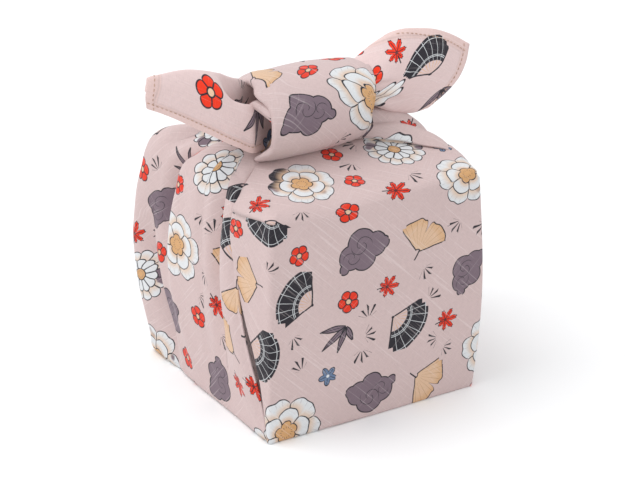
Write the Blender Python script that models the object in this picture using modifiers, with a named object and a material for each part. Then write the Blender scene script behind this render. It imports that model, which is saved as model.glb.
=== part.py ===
"""A square cloth wrapped round a cube and tied on top with a square knot, as one closed solid.

Metres, +Z up. It stands on z = 0, the smooth front looks along -Y and the two free ends lie along X.
"""

import math

import bmesh
import bpy

MM = 0.001

# The wrapped block.
WIDTH = 112 * MM  # along X
DEPTH = 111 * MM  # along Y
HEIGHT = 112.4 * MM  # to the flat of the top
SHEET = 1.6 * MM  # the cloth of the free ends, with its hem
SIDE_RECESS = 1.8 * MM  # how far the sides lie behind the gathers that cover them
FRONT_BULGE = 0.8 * MM  # how far the front and back swell
RIGHT_PUFF = 4.2 * MM  # how far the cloth stands off the front right upright edge, half way up
PUFF_LOW = 0.85  # under 1 puts the fullest place lower down
PUFF_FROM = 0.4  # where on the front that swelling starts, from 0 in the middle to 1 at its edge
PUFF_REACH = 0.3  # how far round the side it goes, as a share of DEPTH
RIGHT_WING = 0.9  # size of the right wing beside the left one
WING_SHARES = (0.0, 0.3, 0.6, 0.85, 1.0)  # places across a wing, to its folded edge
WING_LEAST = 0.6 * MM  # the narrowest wing, at the foot
SLIT_WIDTH = 4.0 * MM  # of the pleat's floor between wing and gather
SIDE_END = 0.96  # how far back the covered side goes, as a share of DEPTH
SIDE_STEPS = 5
FRONT_STEPS = 12
BACK_STEPS = 8
BACK_SHARE = 0.95  # the back's width beside the front's
CORNER_FOOT = 1.2 * MM  # radius of the upright edges at the foot
CORNER_TOP = 3.4 * MM
CORNER_CUT = 0.3  # how near its sharp corner a rounded edge passes, in radii
DRAWN_X = -26 * MM  # where the front top edge is softest, and over how wide a stretch
DRAWN_WIDTH = 22 * MM
DRAWN_SOFT = 1.1

# The knot's broad band, a lying tube round the point KNOT_Y, KNOT_Z.
KNOT_Y = 0.0
KNOT_Z = HEIGHT + 25 * MM
BAND_POWER = 2.25  # 2 is an ellipse, more is squarer
LIP = 1.4 * MM  # radius of the folded rim at the band's open left end

# Height of a point over the base as a share of HEIGHT, and there: where the front wing's folded
# edge lies on the side, as a share of DEPTH from the front, and how far that edge stands out, mm.
WING_ROWS = (
    # height, edge, out
    (0.000, 0.012, 0.0),
    (0.100, 0.028, 0.2),
    (0.250, 0.062, 0.7),
    (0.370, 0.105, 1.2),
    (0.500, 0.160, 1.9),
    (0.620, 0.200, 2.6),
    (0.750, 0.232, 3.4),
    (0.880, 0.248, 4.4),
    (1.000, 0.245, 5.0),
)

# The block's levels, bottom to top: height in mm, and how far the level lies inside the outline, mm.
BLOCK_LEVELS = (
    # height, inset
    (0.0, 1.6),
    (0.5, 0.5),
    (1.6, 0.0),
    (9.0, 0.0),
    (20.0, 0.0),
    (32.0, 0.0),
    (44.0, 0.0),
    (56.0, 0.0),
    (68.0, 0.0),
    (80.0, 0.0),
    (91.0, 0.0),
    (100.0, 0.0),
)

# The rounded top edge: how far in and how far below the flat of the top, mm, before softening.
EDGE_STEPS = (
    # inset, drop
    (0.1, 5.4),
    (0.8, 2.7),
    (2.4, 0.9),
    (5.0, 0.1),
)
TOP_RINGS = (0.78, 0.6, 0.42, 0.26, 0.1)  # of the half width, towards the knot

TENT_RISE = 9.5 * MM  # how far the top flap is drawn up under the knot
TENT_POWER = 1.25

# A side gather from the foot of the side, over the top edge and into the knot. out is the distance
# from the middle plane, rise the height, front and back its two edges along Y, lean the angle of
# its surface (0 upright, 90 flat), roll_front and roll_back how deep its edges turn in, tail the
# roundness of its folded edge on the back, and gain how strongly its folds show. In mm and degrees.
LEFT_GATHER = (
    # out, rise, front, back, lean, roll_front, roll_back, tail, gain
    (55.4, 0.4, -53.8, 55.8, 0, 1.5, 5.0, 3.2, 0.10),
    (56.2, 2.0, -53.6, 56.2, 0, 1.6, 5.0, 3.2, 0.20),
    (56.8, 10.0, -52.8, 57.0, 0, 2.0, 6.0, 3.2, 0.45),
    (57.8, 22.0, -50.6, 58.8, 0, 2.6, 7.0, 3.2, 0.80),
    (59.2, 36.0, -46.8, 60.6, 0, 3.0, 8.0, 3.2, 1.10),
    (60.2, 50.0, -41.6, 61.6, 0, 3.4, 8.6, 3.2, 1.25),
    (60.6, 64.0, -36.6, 61.6, 0, 3.6, 8.4, 3.2, 1.30),
    (60.4, 77.0, -33.0, 60.8, 0, 4.0, 8.0, 3.2, 1.20),
    (60.0, 89.0, -30.6, 59.6, 0, 4.4, 7.6, 3.2, 1.15),
    (59.2, 99.0, -29.6, 57.8, 4, 5.0, 7.5, 3.2, 1.05),
    (58.0, 107.0, -28.6, 56.6, 16, 5.5, 7.0, 3.2, 1.00),
    (55.6, 113.0, -25.6, 54.6, 38, 6.0, 6.5, 3.2, 1.00),
    (51.8, 117.6, -21.0, 51.0, 52, 6.5, 6.5, 3, 1.05),
    (46.8, 122.0, -16.6, 44.0, 56, 7.0, 7.5, 2, 1.10),
    (40.8, 126.4, -13.6, 33.0, 58, 7.5, 8.5, 2, 1.10),
    (33.0, 130.2, -11.6, 20.0, 62, 8.0, 8.0, 2, 0.90),
    (22.0, 133.0, -10.0, 12.0, 75, 8.0, 8.0, 2, 0.50),
)
RIGHT_GATHER = (
    # out, rise, front, back, lean, roll_front, roll_back, tail, gain
    (55.4, 0.4, -53.8, 55.8, 0, 1.5, 5.0, 3.2, 0.10),
    (56.2, 2.0, -53.6, 56.2, 0, 1.6, 5.0, 3.2, 0.20),
    (56.6, 10.0, -52.8, 56.8, 0, 2.0, 6.0, 3.2, 0.45),
    (57.2, 22.0, -50.8, 57.4, 0, 2.6, 7.0, 3.2, 0.75),
    (58.0, 36.0, -47.4, 58.2, 0, 3.0, 8.0, 3.2, 1.00),
    (58.8, 50.0, -43.0, 58.8, 0, 3.4, 8.5, 3.2, 1.05),
    (59.2, 64.0, -39.0, 59.0, 0, 3.6, 8.5, 3.2, 1.05),
    (59.4, 77.0, -36.4, 58.8, 0, 4.0, 8.0, 3.2, 1.05),
    (59.2, 89.0, -35.0, 58.0, 0, 4.4, 7.5, 3.2, 1.00),
    (58.6, 99.0, -34.6, 57.0, 6, 5.0, 7.0, 3.2, 1.00),
    (57.6, 108.0, -34.4, 55.6, 20, 5.5, 6.5, 3.2, 1.00),
    (55.2, 114.2, -32.8, 53.0, 42, 6.0, 6.5, 3.2, 1.00),
    (51.6, 118.8, -29.4, 48.6, 56, 6.0, 6.5, 3, 1.05),
    (46.8, 123.0, -25.0, 40.6, 58, 6.5, 7.5, 2, 1.10),
    (40.8, 127.2, -20.8, 29.6, 58, 7.0, 8.5, 2, 1.10),
    (32.0, 130.8, -17.0, 19.0, 62, 8.0, 8.0, 2, 0.90),
    (20.0, 133.0, -12.0, 12.0, 75, 8.0, 8.0, 2, 0.50),
)
# The folds across a gather. low, middle and high are where a fold lies at the foot, half way up and
# at the top edge, as shares from the front edge to the back one; width is such a share too.
LEFT_FOLDS = (
    # low, middle, high, width, height in mm
    (0.10, 0.10, 0.09, 0.075, 1.6),
    (0.24, 0.23, 0.21, 0.045, -2.2),
    (0.46, 0.50, 0.42, 0.150, 1.6),
    (0.76, 0.81, 0.63, 0.045, -3.0),
    (0.92, 0.94, 0.86, 0.120, 3.6),
)
RIGHT_FOLDS = (
    # low, middle, high, width, height in mm
    (0.12, 0.11, 0.10, 0.080, 1.8),
    (0.28, 0.27, 0.22, 0.045, -2.4),
    (0.48, 0.47, 0.40, 0.130, 1.8),
    (0.70, 0.68, 0.60, 0.045, -2.8),
    (0.88, 0.88, 0.80, 0.110, 2.4),
)
LOWEST_GATHER = 0.4 * MM  # the block alone touches the ground
GATHER_ROLL = 4  # points round the front edge
ROLL_LENGTH = 1.3  # how long that roll is, in depths
GATHER_FACE = 20
GATHER_CORNER = 5
GATHER_TAIL = 3  # points round the folded edge that lies on the back
GATHER_INNER = 8
TAIL_SINK = 6.0  # mm that the tail ends below the back's surface
LEAST_SINK = 0.6  # mm that it goes inward on top, where there is no back below it
GATHER_THICK = 5.0  # mm, of the part that lies within the block
GATHER_SHRINK = 0.8  # of the inner side beside the outer one

# The band's stations along X, outer skin: place of the station, half depth, half height, lift of
# its middle, front_shift and top_shift how far its front and top lie along X from it, all mm.
BAND_ROWS = (
    # x, half_depth, half_height, lift, front_shift, top_shift
    (-33.6, 21.2, 18.6, -1.6, 0.0, 0.6),
    (-27.0, 22.4, 19.4, -1.2, 0.0, 0.6),
    (-18.0, 23.0, 19.2, -1.4, 0.0, 0.4),
    (-8.0, 23.4, 19.4, -1.4, 0.0, 0.0),
    (2.0, 23.2, 19.2, -1.4, -0.6, 0.6),
    (10.0, 22.6, 18.4, -1.6, -1.6, 2.0),
    (17.0, 21.6, 17.6, -1.8, -3.0, 3.6),
    (22.0, 20.0, 16.0, -1.8, -3.6, 4.6),
    (24.6, 16.8, 13.2, -1.8, -3.6, 4.6),
    (25.4, 11.0, 8.4, -1.8, -2.0, 3.0),
)
BAND_AROUND = 32
LIP_SHARE = 0.93  # size of the folded rim's foremost line beside the rim's outer one
POCKET_ROWS = (
    # x, share of the rim's size
    (-16.0, 0.40),
    (-20.0, 0.66),
    (-27.0, 0.80),
    (-32.6, 0.85),
)

# A free end is a folded sheet: rows from its root in the knot to its tip. x along the end, low and
# high its lower edge and its upper fold above the flat of the top, middle its place along Y, gape
# the room between its two layers, curl how far the lower edge turns back, all mm.
LEFT_END = (
    # x, low, high, middle, gape, curl
    (-14.0, 15.0, 33.0, 1.0, 7.0, 2.0),
    (-24.0, 11.0, 37.6, 0.6, 8.0, 3.0),
    (-32.0, 8.8, 41.4, -0.4, 9.6, 4.0),
    (-40.0, 12.2, 45.2, -3.4, 13.0, 3.4),
    (-50.0, 19.4, 49.4, -3.2, 11.0, 2.0),
    (-60.0, 25.6, 52.6, -2.4, 9.0, 1.2),
    (-70.0, 31.4, 54.4, -1.4, 7.0, 0.6),
    (-79.0, 36.4, 54.4, -0.6, 4.4, 0.3),
    (-86.0, 40.4, 53.4, 0.0, 2.8, 0.0),
)
RIGHT_END = (
    # x, low, high, middle, gape, curl
    (10.0, 18.0, 38.0, 4.0, 9.0, 2.0),
    (20.0, 17.0, 41.6, 4.0, 12.0, 3.0),
    (30.0, 14.6, 43.6, 3.0, 14.0, 4.0),
    (38.0, 11.6, 47.4, 1.6, 15.0, 5.0),
    (47.0, 9.0, 50.0, 0.6, 14.0, 5.0),
    (56.0, 8.6, 50.4, 0.0, 11.0, 4.0),
    (64.0, 10.6, 48.2, 0.0, 8.0, 2.6),
    (71.0, 14.6, 45.6, 0.0, 6.0, 1.4),
    (78.0, 21.0, 42.0, 0.0, 4.6, 0.6),
    (84.0, 30.4, 38.4, 0.0, 3.4, 0.0),
)
END_FRONT = 12  # points up the front layer
END_TURN = 5  # points round the fold
END_BACK = 7  # points down the back layer
BACK_SHORT = 0.28  # how much shorter the back layer is
END_BELLY = 0.12  # how far the front layer swells, in gapes

CLOTH_COLOUR = (0.62, 0.45, 0.43, 1.0)
CLOTH_ROUGHNESS = 0.8


def clear_scene():
    for thing in list(bpy.data.objects):
        bpy.data.objects.remove(thing, do_unlink=True)


def ease(t):
    t = min(1.0, max(0.0, t))
    return t * t * (3 - 2 * t)


def between(rows, column, at):
    """The value of a column where the first column is at, from a table with rising rows."""
    if at <= rows[0][0]:
        return rows[0][column]
    for low, high in zip(rows, rows[1:]):
        if at <= high[0]:
            share = (at - low[0]) / (high[0] - low[0])
            return low[column] + (high[column] - low[column]) * share
    return rows[-1][column]


def closed_loft(name, rings, collection, peak=None):
    """A closed body through rings of equally many points, with both ends shut, the last at a peak."""
    mesh = bmesh.new()
    levels = [[mesh.verts.new(p) for p in ring] for ring in rings]
    count = len(rings[0])
    for low, high in zip(levels, levels[1:]):
        for i in range(count):
            j = (i + 1) % count
            mesh.faces.new((low[i], low[j], high[j], high[i]))
    mesh.faces.new(list(reversed(levels[0])))
    if peak is None:
        mesh.faces.new(levels[-1])
    else:
        top = mesh.verts.new(peak)
        for i in range(count):
            mesh.faces.new((levels[-1][i], levels[-1][(i + 1) % count], top))
    bmesh.ops.recalc_face_normals(mesh, faces=mesh.faces)
    if mesh.calc_volume(signed=True) < 0:
        bmesh.ops.reverse_faces(mesh, faces=mesh.faces)
    bmesh.ops.triangulate(mesh, faces=mesh.faces)
    return as_object(name, mesh, collection)


def as_object(name, mesh, collection):
    data = bpy.data.meshes.new(name)
    mesh.to_mesh(data)
    mesh.free()
    body = bpy.data.objects.new(name, data)
    collection.objects.link(body)
    return body


def tent(x, y):
    """How far the top flap is drawn up at a point of the top."""
    inward = max(0.0, 1 - abs(y) / (DEPTH / 2))
    sideways = 1 - 0.5 * (abs(x) / (WIDTH / 2)) ** 2
    return TENT_RISE * sideways * inward**TENT_POWER


def corner_radius(share):
    """The block's upright edges are sharp at the foot and softer above."""
    return CORNER_FOOT + (CORNER_TOP - CORNER_FOOT) * share


def side_points(edge, out, start):
    """(place along the side, offset) from start: a wing that swells to its edge, then the recess."""
    edge = max(edge * DEPTH, start + WING_LEAST)
    floor = edge + SLIT_WIDTH
    points = []
    for share in WING_SHARES:
        points.append((start + (edge - start) * share, out * MM * ease(0.1 + 0.9 * share)))
    for step in range(SIDE_STEPS + 1):
        points.append((floor + (SIDE_END * DEPTH - floor) * step / SIDE_STEPS, -SIDE_RECESS))
    return points


def front_softness(x):
    """How much rounder the front top edge is where the flap is drawn up, left of the middle."""
    return 1 + DRAWN_SOFT * math.exp(-(((x - DRAWN_X) / DRAWN_WIDTH) ** 2))


def block_outline(share):
    """One level's outline, counter-clockwise from the front left corner, as (x, y, softness)."""
    edge = between(WING_ROWS, 1, share)
    out = between(WING_ROWS, 2, share)
    half_width, half_depth = WIDTH / 2, DEPTH / 2
    radius = corner_radius(share)
    cut = radius * CORNER_CUT
    puff = RIGHT_PUFF * math.sin(math.pi * min(1.0, share) ** PUFF_LOW)
    swell = FRONT_BULGE * math.sin(math.pi * min(1.0, share))
    points = [(-half_width + cut, -half_depth + cut, 1.0)]
    for step in range(FRONT_STEPS + 1):
        along = -1 + 2 * step / FRONT_STEPS
        x = along * (half_width - radius)
        right = ease((along - PUFF_FROM) / (1 - PUFF_FROM)) * puff
        points.append((x + right, -half_depth - swell * (1 - along * along), front_softness(x)))
    points.append((half_width - cut + puff, -half_depth + cut, 1.0))
    for place, offset in side_points(edge * RIGHT_WING, out * RIGHT_WING, radius):
        near = puff * (1 - ease(place / (PUFF_REACH * DEPTH)))
        points.append((half_width + offset + near, -half_depth + place, 1.0))
    for step in range(BACK_STEPS + 1):
        along = 1 - 2 * step / BACK_STEPS
        y = half_depth + swell * (1 - along * along)
        points.append((along * half_width * BACK_SHARE, y, 1.0))
    for place, offset in reversed(side_points(edge, out, radius)):
        points.append((-half_width - offset, -half_depth + place, 1.0))
    return points


def block_ring(height, inset, drop):
    """One level of the wrapped block, drawn in and lowered where it rounds over the top edge."""
    ring = []
    for x, y, soft in block_outline(height / HEIGHT):
        inward = inset * soft
        x -= inward * x / (WIDTH / 2)
        y -= inward * y / (DEPTH / 2)
        ring.append((x, y, height - drop * soft))
    return ring


def wrapped_block(collection):
    """The block under front flap and wings: its sides lie back where the gathers cover them."""
    rings = [block_ring(height * MM, inset * MM, 0.0) for height, inset in BLOCK_LEVELS]
    for inset, drop in EDGE_STEPS:
        rings.append(block_ring(HEIGHT, inset * MM, drop * MM))
    rim = rings[-1]
    for share in TOP_RINGS:
        rings.append([(x * share, y * share, HEIGHT + tent(x * share, y * share)) for x, y, _ in rim])
    return closed_loft("wrapped_block", rings, collection, (0.0, 0.0, HEIGHT + TENT_RISE))


def fold_height(folds, across, level):
    """Sum of the ridges and valleys at a place across a gather; level is 0 at the foot, 1 on top."""
    total = 0.0
    for low, middle, high, width, height in folds:
        if level < 0.5:
            centre = low + (middle - low) * ease(level * 2)
        else:
            centre = middle + (high - middle) * ease(min(1.0, level * 2 - 1))
        total += height * MM * math.exp(-(((across - centre) / width) ** 2))
    return total


def gather_ring(row, folds, side):
    """One row of a gather: rolled front edge, folded face, rounded back corner and its tail."""
    out, rise, front, back, lean, roll_front, roll_back, tail, gain = row
    level = min(1.0, rise * MM / HEIGHT)
    angle = math.radians(lean)
    normal_x, normal_z = math.cos(angle), math.sin(angle)
    start = front + roll_front * ROLL_LENGTH
    end = back - roll_back

    def place(y, depth):
        x = out + normal_x * depth
        z = max(LOWEST_GATHER / MM, rise + normal_z * depth)
        return (side * x * MM, y * MM, z * MM)

    def folded(y):
        return gain * fold_height(folds, (y - front) / (back - front), level) / MM

    ring = []
    for step in range(GATHER_ROLL):
        turn = 0.5 * math.pi * step / GATHER_ROLL
        y = front + (start - front) * (1 - math.cos(turn))
        ring.append(place(y, folded(y) * math.sin(turn) - roll_front * (1 - math.sin(turn))))
    for step in range(GATHER_FACE):
        y = start + (end - start) * step / (GATHER_FACE - 1)
        ring.append(place(y, folded(y)))
    for step in range(1, GATHER_CORNER + 1):
        turn = 0.5 * math.pi * step / GATHER_CORNER
        y = end + (back - end) * math.sin(turn)
        ring.append(place(y, folded(y) * math.cos(turn) - roll_back * (1 - math.cos(turn))))
    sink = max(LEAST_SINK, back - (DEPTH / 2 / MM - TAIL_SINK))
    for step in range(1, GATHER_TAIL + 1):
        turn = 0.5 * math.pi * step / GATHER_TAIL
        ring.append(place(back - sink * (1 - math.cos(turn)), -roll_back - tail * math.sin(turn)))
    deep = max(roll_back + tail, roll_front) + GATHER_THICK
    for step in range(GATHER_INNER):
        share = 1 - step / (GATHER_INNER - 1)
        y = front + (back - front) * (0.5 + (share - 0.5) * GATHER_SHRINK)
        ring.append(place(y, -deep))
    return ring


def side_gather(name, rows, folds, side, collection):
    """One side of the cloth from the foot up into the knot, with its folds."""
    return closed_loft(name, [gather_ring(row, folds, side) for row in rows], collection)


def band_point(row, angle, share):
    x, half_depth, half_height, lift, front_shift, top_shift = row
    c, s = math.cos(angle), math.sin(angle)
    size = (abs(c) ** BAND_POWER + abs(s) ** BAND_POWER) ** (-1 / BAND_POWER)
    y = half_depth * c * size * share
    z = half_height * s * size * share
    shift = front_shift * max(0.0, -c) + top_shift * max(0.0, s)
    return ((x + shift) * MM, KNOT_Y + y * MM, KNOT_Z + (z + lift) * MM)


def knot_band(collection):
    """The broad band over the knot: a tube with an open pocket and a folded rim at the left."""
    angles = [2 * math.pi * step / BAND_AROUND for step in range(BAND_AROUND)]
    rim = BAND_ROWS[0]
    rings = []
    for x, share in POCKET_ROWS:
        row = (x,) + rim[1:]
        rings.append([band_point(row, angle, share) for angle in angles])
    lip_row = (rim[0] - LIP / MM,) + rim[1:]
    rings.append([band_point(lip_row, angle, LIP_SHARE) for angle in angles])
    rings += [[band_point(row, angle, 1.0) for angle in angles] for row in BAND_ROWS]
    return closed_loft("knot_band", rings, collection)


def end_section(row):
    """A folded sheet seen along X: up the front, round the fold, down the shorter back layer."""
    x, low, high, middle, gape, curl = row
    half = gape / 2
    turn_z = high - half
    points = []
    for step in range(END_FRONT):
        share = step / (END_FRONT - 1)
        belly = math.sin(math.pi * share) * gape * END_BELLY
        back = curl * (1 - share) ** 3
        points.append((middle - half - belly + back, low + (turn_z - low) * share))
    for step in range(1, END_TURN):
        angle = math.pi - math.pi * step / END_TURN
        points.append((middle + half * math.cos(angle), turn_z + half * math.sin(angle)))
    bottom = low + (turn_z - low) * BACK_SHORT
    for step in range(END_BACK):
        share = step / (END_BACK - 1)
        points.append((middle + half - share, turn_z + (bottom - turn_z) * share))
    return [(x * MM, y * MM, HEIGHT + z * MM) for y, z in points]


def free_end(name, rows, collection):
    """One free corner of the cloth, folded over along its top, thin and open below."""
    mesh = bmesh.new()
    lines = [[mesh.verts.new(p) for p in end_section(row)] for row in rows]
    for first, second in zip(lines, lines[1:]):
        for i in range(len(first) - 1):
            mesh.faces.new((first[i], first[i + 1], second[i + 1], second[i]))
    bmesh.ops.recalc_face_normals(mesh, faces=mesh.faces)
    body = as_object(name, mesh, collection)
    sheet = body.modifiers.new("sheet", "SOLIDIFY")
    sheet.thickness = SHEET
    sheet.offset = 0.0
    apply_modifiers(body)
    return body


def apply_modifiers(body):
    graph = bpy.context.evaluated_depsgraph_get()
    data = bpy.data.meshes.new_from_object(body.evaluated_get(graph))
    body.modifiers.clear()
    body.data = data


def joined(body, others):
    """Unites bodies into one solid."""
    for other in others:
        union = body.modifiers.new("union", "BOOLEAN")
        union.operation = "UNION"
        union.solver = "EXACT"
        union.object = other
        apply_modifiers(body)
        bpy.data.objects.remove(other, do_unlink=True)
    return body


def cloth_material():
    material = bpy.data.materials.new("pink_cloth")
    material.use_nodes = True
    shader = material.node_tree.nodes["Principled BSDF"]
    shader.inputs["Base Color"].default_value = CLOTH_COLOUR
    shader.inputs["Roughness"].default_value = CLOTH_ROUGHNESS
    shader.inputs["Metallic"].default_value = 0.0
    return material


def build():
    clear_scene()
    collection = bpy.data.collections.new("furoshiki_wrap")
    bpy.context.scene.collection.children.link(collection)
    cloth = wrapped_block(collection)
    pieces = [
        side_gather("left_gather", LEFT_GATHER, LEFT_FOLDS, -1, collection),
        side_gather("right_gather", RIGHT_GATHER, RIGHT_FOLDS, 1, collection),
        knot_band(collection),
        free_end("left_end", LEFT_END, collection),
        free_end("right_end", RIGHT_END, collection),
    ]
    cloth = joined(cloth, pieces)
    cloth.name = "furoshiki_cloth"
    cloth.data.name = "furoshiki_cloth"
    cloth.data.materials.clear()
    cloth.data.materials.append(cloth_material())
    cloth.data.polygons.foreach_set("use_smooth", [True] * len(cloth.data.polygons))


build()
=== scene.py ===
"""The looks of a square cloth wrapped round a cube and tied on top with a square knot.

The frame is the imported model's: metres, +Z up, the wrap stands on z = 0 and its smooth front looks
along -Y. Shapes are worked out in millimetres and scaled once, where a mesh is made. A place on the
flat cloth is a pair of lengths from its middle along its two threads, or, as p and q, along the
wrap's own directions: p to the right, q to the back.
"""

import math
from functools import reduce

import bpy
import numpy as np
from mathutils import Matrix, Vector


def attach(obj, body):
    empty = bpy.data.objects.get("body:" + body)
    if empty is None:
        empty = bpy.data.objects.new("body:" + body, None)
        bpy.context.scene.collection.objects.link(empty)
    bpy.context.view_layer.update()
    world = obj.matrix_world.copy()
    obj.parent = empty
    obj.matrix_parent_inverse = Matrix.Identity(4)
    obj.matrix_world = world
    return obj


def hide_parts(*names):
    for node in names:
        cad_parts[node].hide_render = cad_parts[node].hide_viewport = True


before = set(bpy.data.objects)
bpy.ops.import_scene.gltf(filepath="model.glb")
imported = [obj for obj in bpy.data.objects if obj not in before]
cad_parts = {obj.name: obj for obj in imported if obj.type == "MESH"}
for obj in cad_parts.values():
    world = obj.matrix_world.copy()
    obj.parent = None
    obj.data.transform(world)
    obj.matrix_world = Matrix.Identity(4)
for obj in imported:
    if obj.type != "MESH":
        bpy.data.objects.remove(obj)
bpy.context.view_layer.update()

MM = 0.001
WIDTH = 112.0
DEPTH = 111.0
HEIGHT = 112.4
HALF_W = WIDTH / 2
HALF_D = DEPTH / 2
CLOTH_SIDE = 500.0  # of the flat square
HALF_CLOTH = CLOTH_SIDE / 2
BAKE_MAP = "OFBake"

FRONT_STEPS = 56
BACK_STEPS = 24
FRONT_BULGE = 0.8
BACK_SHARE = 0.95  # the back's width, as a share of the whole
CORNER_FOOT = 1.2  # radius of an upright front edge
CORNER_TOP = 3.0
RIGHT_PUFF = 4.2  # how far the right-hand front edge swells out
PUFF_LOW = 0.85  # under 1, so that it's fullest below the middle
PUFF_FROM = 0.4  # share of the half front where it starts
PUFF_REACH = 0.3  # share of the depth where it ends
# A side: a wing folded round from the front, the pleat behind it and that pleat's floor.
RIGHT_WING = 0.9  # its size, as a share of the left one's
WING_FOLD = 0.7  # radius
WING_UNDER = 7.0  # how far the cloth runs back under the wing
SIDE_RECESS = 7.6
FLOOR_RECESS = SIDE_RECESS + 0.6
SIDE_END = 0.97 * DEPTH
SEAM_IN = 4  # points from the left side's back end to the sheet's seam
# Upright faces: their lowest and highest plain row, and how many there are.
WALL_LOW = 2.5
WALL_HIGH = HEIGHT - 8.5
WALL_ROWS = 44
# The top rises to the knot like a tent; its rows are shares of the outline.
TENT_RISE = 9.5
TENT_POWER = 1.25
TOP_SHARES = np.linspace(0.97, 0.16, 22)
FOOT_SHARES = (0.2, 0.6, 0.9, 0.97)  # the same for the underside
# The top edge is rounder where the front is drawn in, and behind the left wing; it's crisper at the
# right from one x to another.
DRAWN_X = -26.0
DRAWN_WIDTH = 22.0
DRAWN_SOFT = 1.1
WING_SOFT = 1.0
WING_REACH = 26.0
CRISP = 0.45
CRISP_FROM = 36.0
CRISP_TO = 52.0

# Height share; place of the wing's folded edge as a share of the depth; how far it stands out, mm.
WING_ROWS = np.array((
    # height, edge, out
    (0, 0.012, 0),
    (0.1, 0.028, 0.2),
    (0.25, 0.062, 0.7),
    (0.37, 0.105, 1.2),
    (0.5, 0.16, 1.9),
    (0.62, 0.2, 2.6),
    (0.75, 0.232, 3.4),
    (0.88, 0.248, 4.4),
    (1, 0.245, 5),
))
# The rounded top edge of the block: how far in, how far below the flat of the top, mm.
EDGE_STEPS = (
    # in, down
    (0.02, 6.5),
    (0.1, 5.0),
    (0.35, 3.7),
    (0.76, 2.68),
    (0.8, 2.6),
    (1.5, 1.6),
    (2.6, 0.8),
    (4.0, 0.25),
    (5.6, 0.0),
)
LAP_STEP = 4  # from here inwards the top's cloth lies over the sides'
LAP_DEPTH = 0.7

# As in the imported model: rows of a side gather from its foot, which both sides share, into the knot.
GATHER_FOOT = (
    # out, rise, front, back, lean, roll_front, roll_back, tail, gain
    (50, 0.3, -50, 52, 0, 1.5, 5, 3.2, 0),
    (55.4, 0.4, -53.8, 55.8, 0, 1.5, 5, 3.2, 0.1),
    (56.2, 2, -53.6, 56.2, 0, 1.6, 5, 3.2, 0.2),
)
LEFT_GATHER = np.array((
    *GATHER_FOOT,
    (56.8, 10, -52.8, 57, 0, 2, 6, 3.2, 0.45),
    (57.8, 22, -50.6, 58.8, 0, 2.6, 7, 3.2, 0.8),
    (59.2, 36, -46.8, 60.6, 0, 3, 8, 3.2, 1.1),
    (60.2, 50, -41.6, 61.6, 0, 3.4, 8.6, 3.2, 1.25),
    (60.6, 64, -36.6, 61.6, 0, 3.6, 8.4, 3.2, 1.3),
    (60.4, 77, -33, 60.8, 0, 4, 8, 3.2, 1.2),
    (60, 89, -30.6, 59.6, 0, 4.4, 7.6, 3.2, 1.15),
    (59.2, 99, -29.6, 57.8, 4, 5, 7.5, 3.2, 1.05),
    (58, 107, -28.6, 56.6, 16, 5.5, 7, 3.2, 1),
    (55.6, 113, -25.6, 54.6, 38, 6, 6.5, 3.2, 1),
    (51.8, 117, -21, 51, 52, 6.5, 6.5, 3, 1.05),
    (46.8, 120.2, -16.4, 44, 56, 6.6, 7.5, 2, 1.1),
    (40.8, 122.6, -12, 33, 58, 6.6, 8.5, 2, 1.1),
    (33, 124.4, -7, 20, 62, 6, 8, 2, 0.9),
    (22, 126, -4, 12, 75, 6, 8, 2, 0.5),
))
RIGHT_GATHER = np.array((
    *GATHER_FOOT,
    (56.6, 10, -52.8, 56.8, 0, 2, 6, 3.2, 0.45),
    (57.2, 22, -50.8, 57.4, 0, 2.6, 7, 3.2, 0.75),
    (58, 36, -47.4, 58.2, 0, 3, 8, 3.2, 1),
    (58.8, 50, -43, 58.8, 0, 3.4, 8.5, 3.2, 1.05),
    (59.2, 64, -39, 59, 0, 3.6, 8.5, 3.2, 1.05),
    (59.4, 77, -36.4, 58.8, 0, 4, 8, 3.2, 1.05),
    (59.2, 89, -35, 58, 0, 4.4, 7.5, 3.2, 1),
    (58.6, 99, -34.6, 57, 6, 5, 7, 3.2, 1),
    (57.6, 108, -34.6, 55.6, 20, 2.6, 6.5, 3.2, 1),
    (55.2, 114.2, -33.4, 53, 42, 1.5, 6.5, 3.2, 1),
    (51.6, 118.8, -30.6, 48.6, 56, 1.1, 6.5, 3, 1.05),
    (46.8, 123, -26.2, 40.6, 58, 1, 7.5, 2, 1.1),
    (40.8, 127.2, -21.6, 29.6, 58, 1, 8.5, 2, 1.1),
    (32, 130.8, -17, 19, 62, 1, 8, 2, 0.9),
    (20, 133, -12, 12, 75, 1, 8, 2, 0.5),
))
# How far a gather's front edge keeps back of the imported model's, so that the slit is open, mm.
SLIT_ROWS = np.array((
    # rise, back
    (0, 0.4), (10, 1.6), (22, 3), (36, 4.4), (50, 4.2), (64, 2.8), (77, 1.4), (89, 0.5), (99, 0),
    (133, 0),
))
# How far the right gather's front slants down to the flat of the top, mm.
SLANT_ROWS = np.array((
    # rise, down
    (0, 0), (109, 0), (114.2, 1.4), (118.8, 4.4), (123, 8.4), (127.2, 11.2), (130.8, 13.6),
    (133, 14),
))
SLANT_REACH = 17.0
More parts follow.
